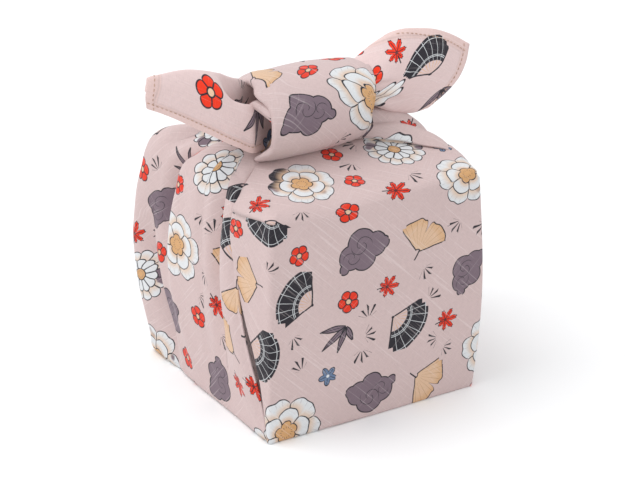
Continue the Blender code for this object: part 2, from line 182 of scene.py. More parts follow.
# Creases of a gather. y_n is the crease's place along Y, v_n its depth, mm; 1 and 2 are the
# front ones, 3 the upper back one and 4 the lower back one.
LEFT_CREASES = np.array((
    # rise, y_1, y_2, y_3, y_4, v_1, v_2, v_3, v_4
    (0, -22, -6, 20, 28, 0, 0, 0, 0.8),
    (12, -21, -5.5, 21, 29.5, 0.2, 0.2, 0, 2),
    (24, -20, -5, 22.5, 32.5, 0.8, 0.3, 0, 3.4),
    (36, -19, -4.5, 24.5, 37.5, 2, 0.5, 0.2, 4.4),
    (50, -17, -3.5, 27, 41.5, 3.8, 0.7, 0.8, 4.4),
    (65, -14, -2.5, 29, 43.4, 5.6, 0.8, 3.4, 3),
    (78, -13, -2.2, 29.6, 42.5, 7, 0.8, 8, 0.7),
    (88, -13.2, -2, 28.3, 41, 7.6, 0.7, 10.2, 0),
    (100, -14, -2, 25.8, 40, 7.4, 0.6, 9.6, 0),
    (112, -13.2, -1.5, 22.4, 38, 6.4, 0.7, 7, 0),
    (118, -10.6, -0.5, 16, 32, 4.4, 0.9, 4.4, 0.4),
    (124, -8.4, 0, 9.5, 23, 3.2, 1, 3.2, 0.8),
    (133, -6, 0.5, 5, 9, 1.2, 0.6, 1.2, 0.4),
))
RIGHT_CREASES = np.array((
    # rise, y_1, y_2, y_3, y_4, v_1, v_2, v_3, v_4
    (0, -26, -8, 18, 34, 0, 0, 0.2, 0),
    (12, -25, -8, 18.5, 34.5, 0.3, 0, 0.6, 0.2),
    (24, -24, -7.5, 19.5, 35.5, 0.8, 0.4, 1.4, 0.5),
    (36, -22.5, -6.5, 21, 36.5, 1.6, 0.8, 2.4, 0.9),
    (50, -20.5, -5, 22.5, 38, 2.8, 1.4, 3.4, 1.4),
    (65, -19, -3.5, 23.5, 39, 3.6, 2, 4, 1.8),
    (78, -18.5, -2.5, 23.5, 39.5, 4, 2.4, 4, 2),
    (88, -18.8, -2.5, 22.5, 39, 4.2, 2.6, 3.8, 1.8),
    (100, -19.8, -3, 20.5, 38, 4, 2.6, 3.8, 1.4),
    (112, -21, -4, 17, 35, 3.2, 2.2, 3.4, 1.2),
    (118, -19, -4, 12.5, 29, 2, 1.8, 3, 1.2),
    (124, -15.5, -3.5, 8, 21, 1.6, 1.4, 2.4, 1.2),
    (133, -8, -1.5, 4, 8, 0.8, 0.6, 1, 0.4),
))
# For each crease: how wide it opens towards the front and towards the back; how far a lobe laps
# over it, the front one if over 0, the back one if under 0; how much cloth the pleat hides, mm.
LEFT_LAPS = ((8.0, 9.0, 0.8, 7.0), (6.0, 5.0, 0.0, 9.0), (5.5, 10.0, 1.2, 8.0), (6.0, 9.0, 1.2, 7.0))
RIGHT_LAPS = ((8.0, 9.0, 0.8, 8.0), (7.0, 8.0, -0.8, 6.0), (8.0, 10.0, 0.8, 8.0), (8.0, 8.0, 0.6, 6.0))
# Broad ridges of a gather: place as a share from its front edge to its back one, low, middle, high;
# width as a share; height, mm.
LEFT_RIDGES = (
    (0.09, 0.09, 0.08, 0.080, 1.6),
    (0.50, 0.55, 0.44, 0.170, 1.8),
    (0.55, 0.60, 0.54, 0.050, 1.2),
    (0.92, 0.94, 0.88, 0.110, 3.4),
)
RIGHT_RIDGES = (
    (0.11, 0.11, 0.10, 0.080, 1.8),
    (0.48, 0.47, 0.40, 0.150, 1.8),
    (0.88, 0.88, 0.80, 0.120, 2.4),
)
GATHER_ROWS = 124
EDGE_ROLL = 1.3  # the front edge's roll, mm, where the slit is open
FACE_STEPS = (14, 16, 22, 16, 16)  # from the front edge to each crease and to the back edge
STRIP_IN = (12.0, 6.0, 2.0)  # the hidden layer behind the front edge, its points' places, mm
SECOND_ROLL = 1.5  # radius where that layer turns
SLIT_TOP = 86.0  # up to this height the slit's edge is drawn in, and by SLIT_FADE above it no more
SLIT_FADE = 24.0
SLIT_DRAWN = 2.4
BUNCH_FROM = 107.0  # the cloth is bunched up from here
BUNCH_REACH = 16.0
PLEATS_GROWN = 55.0  # height where a pleat hides all of its cloth
GATHER_FLAT = (-5.0, 4.0)  # shift of the print, up the side and across it
LEFT_SEED = 11
RIGHT_SEED = 23

KNOT_Z = HEIGHT + 25.0
BAND_POWER = 2.25
BAND_ROWS = np.array((
    # x, half_depth, half_height, lift, front_shift, top_shift
    (-33.2, 20.6, 18, -1.6, 0, 0.6),
    (-32, 21.2, 18.6, -1.6, 0, 0.6),
    (-27, 22.4, 19.4, -1.2, 0, 0.6),
    (-18, 23, 19.2, -1.4, 0, 0.4),
    (-8, 23.4, 19.4, -1.4, 0, 0),
    (2, 23.2, 19.2, -1.4, -0.6, 0.6),
    (10, 22.6, 18.4, -1.6, -1.6, 2),
    (17, 21.6, 17.6, -1.8, -3, 3.6),
    (22, 20, 16, -1.8, -3.6, 4.6),
    (24.6, 16.8, 13.2, -1.8, -3.6, 4.6),
    (25.4, 11, 8.4, -1.8, -2, 3),
))
POCKET_ROWS = ((-12, 0.3), (-16, 0.48), (-21, 0.62), (-26, 0.72), (-30, 0.79), (-32, 0.82))  # x, size
LIP_SIZE = 0.91  # at its foremost, as a share of the outside
LIP_OUT = 1.6
BAND_FLAT = (120.0, -30.0)  # its place on the flat cloth
LIP_FLARES = ((3.6, 2.05, 0.28, 2), (4.4, 4.02, 0.30, 4))  # how far out, angle, width, power

# A free end, or ear, as a net of lines from its root in the knot to its tip: x, y, and height over the
# flat of the top, mm.
LEFT_NET = {
    "low edge": (
        (-14, 3, 14), (-23, -1, 10.4), (-29, -4.6, 10), (-34.2, -7.2, 10.6), (-38, -8.8, 11.6),
        (-42, -9.2, 13.6), (-45.6, -9.6, 16.2), (-50, -9, 18.8), (-57.4, -7.6, 23.6), (-67, -5.4, 29.6),
        (-76.6, -3.6, 35.6), (-83, -2.2, 39), (-87.6, -1.2, 41),
    ),
    "belly": (
        (-14, 2, 20), (-22.6, -0.6, 18.6), (-29.2, -3.4, 19.6), (-34.6, -7.4, 20.4),
        (-38.6, -10.8, 21.5), (-42.4, -11, 23.8), (-46.6, -11, 26.8), (-51, -10.6, 29.6),
        (-58, -9.4, 34), (-67.6, -7.4, 39), (-78, -5, 43), (-84.4, -3, 45), (-88.2, -1.3, 46),
    ),
    "crown of the front lobe": (
        (-14, 2, 26), (-24.4, -2, 28), (-30.6, -4.4, 30.4), (-35.4, -5.6, 32.8), (-38.4, -6.8, 34),
        (-41.6, -7.6, 35.2), (-46.4, -7.8, 37.4), (-51, -8.6, 40.4), (-58, -8.4, 44), (-68, -6.8, 47.4),
        (-78, -4.8, 49.4), (-84, -3, 50.4), (-87.6, -1.3, 50.6),
    ),
    "trough": (
        (-15, 6, 24), (-26, 5.6, 22), (-33, 4.4, 20), (-36.6, 2, 21), (-39.6, 0.6, 25), (-43, 0, 29.4),
        (-47, -1.4, 35.6), (-51.2, -4.2, 44.2), (-58, -5, 49.4), (-68, -4.4, 52.4), (-78, -3.2, 53.4),
        (-83.8, -2.2, 53.3), (-87.2, -1, 53),
    ),
    "top fold": (
        (-15, 8, 31), (-27, 7, 35), (-33.5, 5.5, 39), (-37, 4.4, 41.4), (-41, 3.6, 43.2),
        (-44.4, 2.8, 45.2), (-48, 2.2, 47.6), (-52, 1.2, 49.6), (-58, 0.2, 52), (-68, -0.8, 54.8),
        (-78, -0.9, 55.2), (-83.4, -0.8, 54.9), (-86.6, -0.4, 54.2),
    ),
    "low edge behind": (
        (-14, 10, 20), (-25, 11, 18), (-31, 11, 16), (-35, 10, 18), (-39, 9, 22), (-42, 8, 25),
        (-46, 6.6, 28), (-50, 5.4, 30), (-57, 4.4, 35), (-67, 2.8, 40), (-77, 1.6, 44), (-83.4, 1, 47),
        (-87, 0.8, 48),
    ),
}
RIGHT_NET = {
    "hidden flap's end": (
        (10, 10, 26), (20, 11, 26), (27, 11, 27), (34, 10, 30), (42, 8, 34), (50, 4.4, 44),
        (58, 1.2, 47.2), (66, -0.4, 46), (74.4, -0.8, 42.2), (84, -1.9, 36.4),
    ),
    "top": (
        (10, 5, 34), (19.5, 5, 36.4), (27, 5, 40.4), (34, 5, 44.4), (41.6, 3.6, 48.2), (49.8, 1, 50.1),
        (57.4, 0, 48.9), (65.6, -1, 47), (74.2, -1.2, 42.9), (83.8, -2, 36.8),
    ),
    "upper front": (
        (10, -2, 33), (20, -2.4, 35.2), (27, -3, 38), (34, -3.4, 41), (42, -3.6, 44), (50, -4, 45.5),
        (58, -4.4, 44.3), (65.5, -5, 41.6), (73, -4.4, 37), (81.4, -3.4, 30.4),
    ),
    "middle": (
        (10, -5, 28), (20, -6.8, 30), (27, -8, 31), (34, -8.8, 33), (42, -8.8, 34), (50, -8.6, 34.5),
        (57, -8, 33.5), (63.6, -7.8, 31), (70.2, -6.4, 27.4), (76.6, -4.2, 22.8),
    ),
    "lower front": (
        (10, -4, 22), (20.6, -6.2, 24.6), (27, -6.6, 25), (34, -8.4, 24.6), (42, -9.6, 23.5),
        (50, -9.6, 22.5), (55, -9, 21.6), (60.6, -8, 20), (65.6, -6.6, 18.4), (69, -4.6, 16.9),
    ),
    "bottom": (
        (10, -1, 18), (21, -3.4, 20), (27.4, -5, 20.4), (34, -7.6, 17.2), (42, -8, 14.2),
        (49.4, -8, 12.5), (53.4, -7.6, 12.4), (57.2, -6.8, 12.4), (59.6, -5.8, 12.6), (61.4, -5, 13.1),
    ),
    "hidden flap's end below": (
        (10, 6, 22), (20, 5, 20), (26, 5, 20), (33, 3, 19), (41, 1, 18), (49, -1, 16), (53, -3, 14.4),
        (57.6, -4, 13.4), (60, -4.8, 13), (61.6, -4.9, 13.2),
    ),
}
LEFT_GRID = (96, 84)
RIGHT_GRID = (84, 84)
# The left end's print: how much it slants along its rows, and its scale across them.
LEFT_SLANT = 0.25
LEFT_ACROSS = 0.9
# The right end's print follows its tip up to here, then, over MIX_OVER, the lines of its net.
MIX_FROM = 12.0
MIX_OVER = 18.0
# Creases pressed in an end: x and height over the top at their start and end, half width, depth, mm.
LEFT_PRESSED = (((-40, 20), (-62, 33), 1.4, 0.5),)
RIGHT_PRESSED = (((25, 24), (46, 21), 1.5, 1.4), ((25, 31), (40, 31), 1.2, 0.8))
# Where an end is hemmed: the row where its long hem starts, the column that this hem follows, and the
# column where the short hem, across the last row from there, stops.
LEFT_HEM = (24, 0, 64)
RIGHT_HEM = (44, 13, 71)
HEM_STEPS = 14  # grid steps from a hemmed edge that its stitches are looked for in
# The small roll of cloth between the left end's front lobe and the band's rim, and its radii, mm.
INNER_ROLL = ((-37.4, -4.4, 32), (-35, -7.5, 33.6), (-33.4, -11, 33), (-32, -15, 31), (-30, -18, 27))
INNER_RADII = (0.8, 2.2, 2.7, 2.4, 1.6)
INNER_FLAT = (-150, 130)
EAR_THICK = 0.9
HEM_WIDTH = 4.2
HEM_STITCH = 3.4
STITCH_PITCH = 2.3
STITCH_LONG = 1.5
STITCH_THICK = 0.42
STITCH_SIDES = 6
STITCH_SEED = 5
HEMS_APART = 0.8  # stitches stop this near the other hem's line
# Rings of a stitch: place as a share of its length, size as a share of its thickness.
STITCH_STEPS = ((-0.5, 0.1), (-0.4, 0.75), (-0.15, 1.0), (0.15, 1.0), (0.4, 0.75), (0.5, 0.1))

PINK = (0.590, 0.456, 0.443)
WHITE = (0.680, 0.692, 0.704)
INK = (0.024, 0.021, 0.027)
SMOKE = (0.190, 0.138, 0.166)
PEACH = (0.672, 0.457, 0.308)
TAN = (0.606, 0.345, 0.158)
VEIN = (0.34, 0.17, 0.08)
RED = (0.715, 0.037, 0.013)
SLATE = (0.126, 0.182, 0.290)
SLUB_LIGHT = (0.77, 0.685, 0.675)
# Painted shade for the doubled hems, multiplied in: darker and warmer.
HEM_SHADE_TINT = (1.0, 0.93, 0.88)
THREAD_DARK = (0.40, 0.24, 0.17)
THREAD_LIGHT = (0.60, 0.41, 0.31)

CAMERA_AZIMUTH = -31.97
CAMERA_ELEVATION = 25.57
CAMERA_DISTANCE = 1.392
CAMERA_ANGLE = 12.0
CAMERA_ROLL = 0.76
CAMERA_TARGET = (0.00034, 0.0, 0.0680)
FLOOR_HALF = 6000.0
LAMP_TARGET = Vector((0, 0, 0.07))
LAMP_COLOUR = (0.985, 0.99, 1.0)
LAMPS = (
    # name, place from the target in m, size, power
    ("key", (-0.62, 0.26, 1.42), 0.9, 8.6),
    ("left", (-1.75, 0.55, 0.75), 1.6, 3.6),
    ("front", (-0.25, -1.15, 0.95), 1.0, 0.6),
)


def ease(t):
    t = np.clip(t, 0.0, 1.0)
    return t * t * (3 - 2 * t)


def bell(value, width, power=2):
    return np.exp(-((value / width) ** power))


def unit(vectors):
    return vectors / np.linalg.norm(vectors, axis=-1, keepdims=True)


def hermite(x, y, at):
    """Smooth values through the points x, y at the places given."""
    slope = np.gradient(y, x, axis=0)
    at = np.clip(at, x[0], x[-1])
    i = np.clip(np.searchsorted(x, at) - 1, 0, len(x) - 2)
    step = x[i + 1] - x[i]
    t = (at - x[i]) / step
    if np.ndim(y) > 1:
        t, step = t[:, None], step[:, None]
    a = (2 * t**3 - 3 * t**2 + 1) * y[i] + (t**3 - 2 * t**2 + t) * step * slope[i]
    return a + (3 * t**2 - 2 * t**3) * y[i + 1] + (t**3 - t**2) * step * slope[i + 1]


def column(table, k, at):
    """One column of a table at places in its first one."""
    return hermite(table[:, 0], table[:, k], at)[:, None]


def lengths(points):
    """Distance along each line of points, the last axis but one."""
    steps = np.linalg.norm(np.diff(points, axis=-2), axis=-1)
    return np.concatenate([np.zeros_like(steps[..., :1]), np.cumsum(steps, axis=-1)], axis=-1)


def linked(name, data):
    thing = bpy.data.objects.new(name, data)
    bpy.context.scene.collection.objects.link(thing)
    return thing


def mesh_object(name, points, faces):
    """A smooth mesh from points in mm."""
    mesh = bpy.data.meshes.new(name)
    mesh.from_pydata((np.array(points) * MM).tolist(), [], faces)
    mesh.polygons.foreach_set("use_smooth", [True] * len(faces))
    return linked(name, mesh)


class Cloth:
    """Gathers the grids of one cloth mesh, with each point's place on the flat cloth."""

    def __init__(self):
        self.points, self.flat, self.faces, self.sheets = [], [], [], []
        self.count = 0

    def add(self, grid, flat, flip=False, share=1.0):
        """Rows of points and their places; share is how large the columns come in the baked picture."""
        rows, cols = grid.shape[:2]
        index = np.arange(rows * cols).reshape(rows, cols) + self.count
        quads = np.stack([index[:-1, :-1], index[:-1, 1:], index[1:, 1:], index[1:, :-1]], -1).reshape(-1, 4)
        wide = np.linalg.norm(np.diff(grid, axis=1), axis=-1).mean(0) * share
        tall = np.linalg.norm(np.diff(grid, axis=0), axis=-1).mean(1) * np.max(share)
        self.sheets.append([np.concatenate([[0.0], np.cumsum(steps)]) for steps in (wide, tall)])
        self.points.append(grid.reshape(-1, 3))
        self.flat.append(flat.reshape(-1, 2))
        self.faces.append(quads[:, ::-1] if flip else quads)
        self.count += rows * cols
        return index

    def add_thick(self, grid, flat, thick, flip=False):
        """A sheet with both of its sides and its edges."""
        normal = np.cross(np.gradient(grid, axis=1), np.gradient(grid, axis=0))
        normal /= np.maximum(np.linalg.norm(normal, axis=-1, keepdims=True), 1e-9)
        normal = -normal if flip else normal
        half = thick[..., None] / 2
        ring = np.concatenate([grid + normal * half, (grid - normal * half)[:, ::-1]], axis=1)
        around = np.concatenate([flat, flat[:, ::-1]], axis=1)
        index = self.add(closed(ring), closed(around), flip=flip)
        cols = grid.shape[1]
        for row, turn in ((0, False), (-1, True)):
            a = index[row, :cols]
            b = index[row, cols : 2 * cols][::-1]
            quads = np.stack([a[:-1], b[:-1], b[1:], a[1:]], -1)
            self.faces.append(quads[:, ::-1] if turn != flip else quads)
        return grid + normal * half, normal

    def atlas(self):
        """Each sheet's rectangle in one square picture, on shelves, as large as will fit."""
        order = sorted(range(len(self.sheets)), key=lambda n: -self.sheets[n][1][-1])
        for side in np.linspace(300, 1500, 241):
            gap = side * 0.006
            places, x, y, shelf = {}, gap, gap, 0.0
            for n in order:
                w, h = self.sheets[n][0][-1], self.sheets[n][1][-1]
                if x + w + gap > side:
                    x, y, shelf = gap, y + shelf + gap, 0.0
                places[n] = (x, y)
                x, shelf = x + w + gap, max(shelf, h)
            if y + shelf + gap <= side and x <= side:
                break
        out = []
        for n, (u, v) in enumerate(self.sheets):
            x, y = places[n]
            out.append(np.stack(np.meshgrid(u + x, v + y), -1).reshape(-1, 2) / side)
        return np.concatenate(out)

    def made(self, name):
        flat, faces = np.concatenate(self.flat), np.concatenate(self.faces)
        thing = mesh_object(name, np.concatenate(self.points), faces.tolist())
        kinds, local = printed(flat[faces])
        thing.data.polygons.foreach_set("material_index", kinds)
        corners = faces.ravel()
        for layer, values in (("flat", flat[corners]), ("motif", local), (BAKE_MAP, self.atlas()[corners])):
            uv = thing.data.uv_layers.new(name=layer)
            uv.uv.foreach_set("vector", values.astype(np.float32).ravel())
        thing.data.update()
        return thing


def closed(grid):
    """The grid with its first column again after its last."""
    return np.concatenate([grid, grid[:, :1]], axis=1)


def turned(p, q):
    """From the wrap's directions (p to the right, q to the back) to those of the threads."""
    return np.stack([(p + q) / math.sqrt(2), (q - p) / math.sqrt(2)], axis=-1)


def side_path(share, radius, shrink, folded):
    """(y from the front, offset) along a side: wing, its fold, the pleat's floor."""
    edge, out = (float(np.interp(share, WING_ROWS[:, 0], WING_ROWS[:, k])) * shrink for k in (1, 2))
    edge = max(edge * DEPTH, radius + 0.6)
    t = np.linspace(0, 1, 16)
    wing = np.stack([radius + (edge - radius) * t, out * ease(0.1 + 0.9 * t)], -1)
    if not folded:
        t = np.linspace(0, 1, 20)[1:]
        rest = np.stack([edge + (SIDE_END - edge) * t, out - (out + FLOOR_RECESS) * ease(5 * t)], -1)
        return np.concatenate([wing, rest])
    turn = np.linspace(0, math.pi, 8)[1:]
    bend = np.stack([edge + WING_FOLD * np.sin(turn), out - WING_FOLD + WING_FOLD * np.cos(turn)], -1)
    under = max(radius * 0.5, edge - WING_UNDER)
    t = np.linspace(0, 1, 5)[1:]
    back = np.stack([edge + (under - edge) * t, (out - 2 * WING_FOLD) * (1 - t) - SIDE_RECESS * t], -1)
    t = np.linspace(0, 1, 9)[1:] ** 1.5
    floor = np.stack([under + (SIDE_END - under) * t, np.full(8, -FLOOR_RECESS)], -1)
    return np.concatenate([wing, bend, back, floor])


def corner_radius(share):
    return CORNER_FOOT + (CORNER_TOP - CORNER_FOOT) * share


def block_outline(share, folded):
    """One level's outline round the wrap, with its softness and its place on the flat cloth."""
    radius = corner_radius(share)
    puff = RIGHT_PUFF * math.sin(math.pi * share**PUFF_LOW)
    swell = FRONT_BULGE * math.sin(math.pi * share)
    along = np.linspace(-1, 1, FRONT_STEPS + 1)
    x = along * (HALF_W - radius)
    right = ease((along - PUFF_FROM) / (1 - PUFF_FROM)) * puff
    front = np.stack([x + right, -HALF_D - swell * (1 - along**2)], -1)
    turn = np.linspace(0, math.pi / 2, 6)[1:-1]
    corner = np.stack([HALF_W - radius + radius * np.sin(turn), -HALF_D + radius - radius * np.cos(turn)], -1)
    right_side = side_path(share, radius, RIGHT_WING, folded)
    left_side = side_path(share, radius, 1.0, folded)
    near = puff * (1 - ease(right_side[:, 0] / (PUFF_REACH * DEPTH)))
    right_xy = np.stack([HALF_W + right_side[:, 1] + near, -HALF_D + right_side[:, 0]], -1)
    left_xy = np.stack([-HALF_W - left_side[:, 1], -HALF_D + left_side[:, 0]], -1)
    across = np.linspace(1, -1, BACK_STEPS + 1)
    back = np.stack([across * HALF_W * BACK_SHARE, HALF_D + swell * (1 - across**2)], -1)
    ring = np.concatenate([front, corner + (puff, 0), right_xy, back, left_xy[::-1], corner[::-1] * (-1, 1)])
    side = len(front) + len(corner) + len(right_xy)
    left = side + len(back)
    soft = np.ones(len(ring))
    soft[: len(front)] = 1 + DRAWN_SOFT * bell(x - DRAWN_X, DRAWN_WIDTH)
    soft *= 1 - CRISP * ease((ring[:, 0] - CRISP_FROM) / (CRISP_TO - CRISP_FROM))
    soft[left : left + len(left_side)] = 1 + WING_SOFT * ease(left_side[::-1, 0] / WING_REACH)
    place = lengths(np.concatenate([ring, ring[:1]]))
    place -= place[FRONT_STEPS // 2]
    around = np.where(np.arange(len(ring)) < side, place[:-1], place[:-1] - place[-1] + place[0])
    around[side:left] = back[:, 0]
    behind = np.zeros(len(ring), bool)
    behind[side:left] = True
    # The ring starts and ends in the left pleat's floor, where no one sees the seam.
    return tuple(np.roll(part, -left - SEAM_IN, axis=0) for part in (ring, soft, around, behind))


def tent(x, y):
    """How far the top rises over its edge."""
    inward = np.maximum(0.0, 1 - np.abs(y) / HALF_D)
    sideways = 1 - 0.5 * (np.abs(x) / HALF_W) ** 2
    return TENT_RISE * sideways * inward**TENT_POWER


def block(cloth):
    """Front, wings, back and top in one sheet; the sides behind the gathers are the pleats' floor."""
    last_in, lap = EDGE_STEPS[-1][0], EDGE_STEPS[LAP_STEP]
    # height, how far in, how far down, share of the outline
    levels = [(0.0, 0.0, 0.0, share) for share in FOOT_SHARES]
    levels += [(0.0, 1.0, 0.0, 1.0), (0.35, 0.35, 0.0, 1.0), (1.0, 0.05, 0.0, 1.0)]
    levels += [(height, 0.0, 0.0, 1.0) for height in np.linspace(WALL_LOW, WALL_HIGH, WALL_ROWS)]
    levels += [(HEIGHT, inset, drop, 1.0) for inset, drop in EDGE_STEPS]
    levels += [(HEIGHT, last_in, 0.0, share) for share in TOP_SHARES]
    rows, flats = [], []
    for height, inset, drop, share in levels:
        edge = height == HEIGHT and share == 1.0
        over = edge and inset >= lap[0]  # the top's cloth, which laps over the sides'
        ring, soft, around, behind = block_outline(height / HEIGHT, share == 1.0 and not over)
        radius = corner_radius(height / HEIGHT)
        if inset == 0.0:
            height = height * (HEIGHT - 1.0 - EDGE_STEPS[0][1] * soft) / WALL_HIGH
        inward = inset * soft
        # 1 or -1 where the edge faces sideways, 0 along the front and the back.
        aside = np.clip((np.abs(ring[:, 0]) - HALF_W + radius) / radius, 0, 1) * np.sign(ring[:, 0])
        x = ring[:, 0] * (1 - inward / HALF_W)
        y = ring[:, 1] * (1 - inward / HALF_D)
        z = height - drop * soft
        flat_x, flat_y = x + aside * drop * soft, np.abs(y) + (1 - np.abs(aside)) * drop * soft
        if edge and not over:
            x = x - aside * LAP_DEPTH * (1 - (drop - lap[1]) / EDGE_STEPS[0][1])
        if share < 1.0:
            x, y = x * share, y * share
            flat_x, flat_y = x, np.abs(y)
            z = z + tent(x, y) * (z > 1)
        elif over:
            z = z + tent(x, y) * (inset / last_in) ** 2
        if np.max(z) == 0.0:
            p, q = x, y
        elif share < 1.0 or over:
            p, q = flat_x, np.where(behind, 1, -1) * (HEIGHT + DEPTH - flat_y)
        else:
            p, q = around, np.where(behind, 1, -1) * (HALF_D + z + inward)
        y = y - soft_dents(p, q) * (share == 1.0)
        z = z + soft_dents(p, q) * (share < 1.0) * (z > 1)
        rows.append(np.stack([x, y, z], -1))
        flats.append(turned(p, q))
    grid = closed(np.array(rows))
    middle = grid[20, 1:]
    hidden = (np.abs(middle[:, 0]) > HALF_W - 10) & (np.abs(middle[:, 1] - 16) < 36)
    cloth.add(grid, closed(np.array(flats)), share=np.where(hidden, 0.15, 1.0))


def soft_dents(p, q):
    return 0.35 * np.sin(p / 21.0 + 1.3 * np.sin(q / 34.0)) * np.sin(q / 27.0 + 0.6)


def crease_depth(y, rise, creases, laps):
    """Depth of the creases along a gather, how far their lobes lap, and the cloth they hide."""
    depth, shift, hidden = np.zeros((3, *y.shape))
    grown = ease(rise / PLEATS_GROWN)[:, None]
    for k, (before, behind, lap, pleat) in enumerate(laps):
        deep = np.maximum(column(creases, 5 + k, rise), 0.0)
        off = y - column(creases, 1 + k, rise)
        q = np.clip(np.abs(off) / np.where(off < 0, before, behind), 0, 1)
        sharp = np.clip((deep - 1.6) / 4.0, 0.05, 0.6)
        depth -= deep * (sharp * (1 - np.sqrt(q * (2 - q))) + (1 - sharp) * (1 + np.cos(math.pi * q)) / 2)
        near = np.exp(-np.abs(off) / 1.8) * (1 - np.exp(-np.abs(off) / 0.35))
        over = off < 0 if lap > 0 else off > 0
        shift += np.where(over, lap * near * np.minimum(deep, 2.5), 0.0)
        hidden += pleat * grown * ease(deep / 1.6) * ease(off / 0.5 + 0.5)
    return depth, shift, hidden


def ridge_height(across, level, ridges):
    total = np.zeros_like(across)
    for low, middle, high, width, height in ridges:
        lower = low + (middle - low) * ease(level * 2)
        upper = middle + (high - middle) * ease(level * 2 - 1)
        total += height * bell(across - np.where(level < 0.5, lower, upper)[:, None], width)
    return total


def quarter(steps):
    """Angles over a quarter turn, without the first."""
    return np.linspace(0, math.pi / 2, steps + 1)[None, 1:]


def half_turn(steps):
    """Angles over half a turn, without the last."""
    return np.linspace(-math.pi / 2, math.pi / 2, steps + 1)[None, :-1]


def gather(cloth, table, creases, laps, ridges, side, seed):
    """One side of the cloth, from its foot over the top edge and into the knot."""
    path = lengths(table[:, :2])
    at = np.linspace(0, path[-1], GATHER_ROWS)
    out, rise, front, back, lean, roll_f, roll_b, tail, gain = hermite(path, table, at).T[..., None]
    rise = np.maximum.accumulate(rise, axis=0)
    level = rise[:, 0]
    below = 1 - ease((rise - SLIT_TOP) / SLIT_FADE)
    front = front + column(SLIT_ROWS, 1, level)
    roll_f = roll_f + (np.minimum(roll_f, EDGE_ROLL) - roll_f) * below
    start, end = front + roll_f * 1.3, back - roll_b
    stops = [start, *(column(creases, k, level) for k in (1, 2, 3, 4)), end]
    for k in range(1, 5):
        stops[k] = np.clip(stops[k], stops[k - 1] + 1.0, end - 1.0 * (5 - k))
    columns = []
    for k, count in enumerate(FACE_STEPS):
        t = (1 - np.cos(np.linspace(0, math.pi, count + 1))) / 2
        columns.append(stops[k] + (stops[k + 1] - stops[k]) * (t if k == 4 else t[:-1]))
    y = np.concatenate(columns, axis=1)

    def surface(y):
        across = (y - front) / (back - front)
        depth, shift, hidden = crease_depth(y, level, creases, laps)
        depth = depth + gain * ridge_height(across, level / HEIGHT, ridges)
        bunch = ease((rise - BUNCH_FROM) / BUNCH_REACH) * np.sin(11.0 * math.pi * across + seed)
        wave = unevenness(y, at[:, None], seed) * np.minimum(1, gain)
        drawn = SLIT_DRAWN * np.minimum(1, gain) * below * bell(y - front, 3.4)
        slant = column(SLANT_ROWS, 1, level) * (side > 0)
        drawn = drawn + slant * np.clip(1 - (y - front) / SLANT_REACH, 0, 1) ** 1.6
        return depth + wave + 0.7 * bunch - drawn, shift, hidden

    # Across a row: a strip of the layer behind, its turn, the rolled front edge, the face, the rounded
    # back edge, and the tail that goes in behind it.
    face, shift, hidden = surface(y)
    inner = front + 2.2 + SECOND_ROLL
    strip_y = inner + np.array([STRIP_IN])
    base = np.minimum(0.0, surface(start)[0] + roll_f)
    strip = base - 2 * roll_f - 2 * SECOND_ROLL + 0 * strip_y
    turn = half_turn(6)
    low_y = inner - SECOND_ROLL * np.cos(turn)
    low = base - 2 * roll_f - SECOND_ROLL + SECOND_ROLL * np.sin(turn)
    turn = half_turn(12)
    roll_y = front + (start - front) * (1 - np.cos(turn))
    edge = surface(np.maximum(roll_y, start))[0]
    roll = base + (edge - base) * np.maximum(np.sin(turn), 0) - roll_f * (1 - np.sin(turn))
    turn = quarter(8)
    corner_y = end + (back - end) * np.sin(turn)
    corner = surface(corner_y)[0] * np.cos(turn) - roll_b * (1 - np.cos(turn))
    sink = np.maximum(0.6, back - (HALF_D - 6.0))
    turn = quarter(4)
    tail_y = back - sink * (1 - np.cos(turn))
    tails = -roll_b - tail * np.sin(turn)
    all_y = np.concatenate([strip_y, low_y, roll_y, y + shift, corner_y, tail_y], axis=1)
    depth = np.concatenate([strip, low, roll, face, corner, tails], axis=1)
    angle = np.radians(lean)
    x = side * (out + np.cos(angle) * depth)
    grid = np.stack([x, all_y, np.maximum(0.3, rise + np.sin(angle) * depth)], -1)
    first = strip_y.shape[1] + low_y.shape[1] + roll_y.shape[1]
    run = lengths(grid)
    run[:, first : first + y.shape[1]] += hidden
    run[:, first + y.shape[1] :] += hidden[:, -1:]
    middle = first + sum(FACE_STEPS[:2]) + FACE_STEPS[2] // 2
    run = run - run[:, [middle]]
    p = side * (HALF_W + at[:, None] + GATHER_FLAT[0]) + 0 * run
    cloth.add(grid, turned(p, run + GATHER_FLAT[1]), flip=side > 0)


def unevenness(a, b, seed):
    """A slow, irregular wave over two lengths in mm, mostly within 0.3 mm."""
    rng = np.random.default_rng(seed)
    total = 0.0
    for size in (46.0, 29.0, 19.0, 13.0):
        for _ in range(2):
            tilt, phase = rng.uniform(-0.5, 0.5), rng.uniform(0, 2 * math.pi)
            way = a * math.cos(tilt) + b * math.sin(tilt) * 0.6
            total = total + size * np.sin(2 * math.pi * way / size + phase)
    return total * 0.3 / 110


def band_points(rows, angle, share=1.0):
    x, half_depth, half_height, lift, front_shift, top_shift = rows.T[..., None]
    c, s = np.cos(angle)[None], np.sin(angle)[None]
    size = (np.abs(c) ** BAND_POWER + np.abs(s) ** BAND_POWER) ** (-1 / BAND_POWER) * share
    shift = front_shift * np.maximum(0, -c) + top_shift * np.maximum(0, s)
    return np.stack([x + shift, half_depth * c * size, KNOT_Z + half_height * s * size + lift], -1)


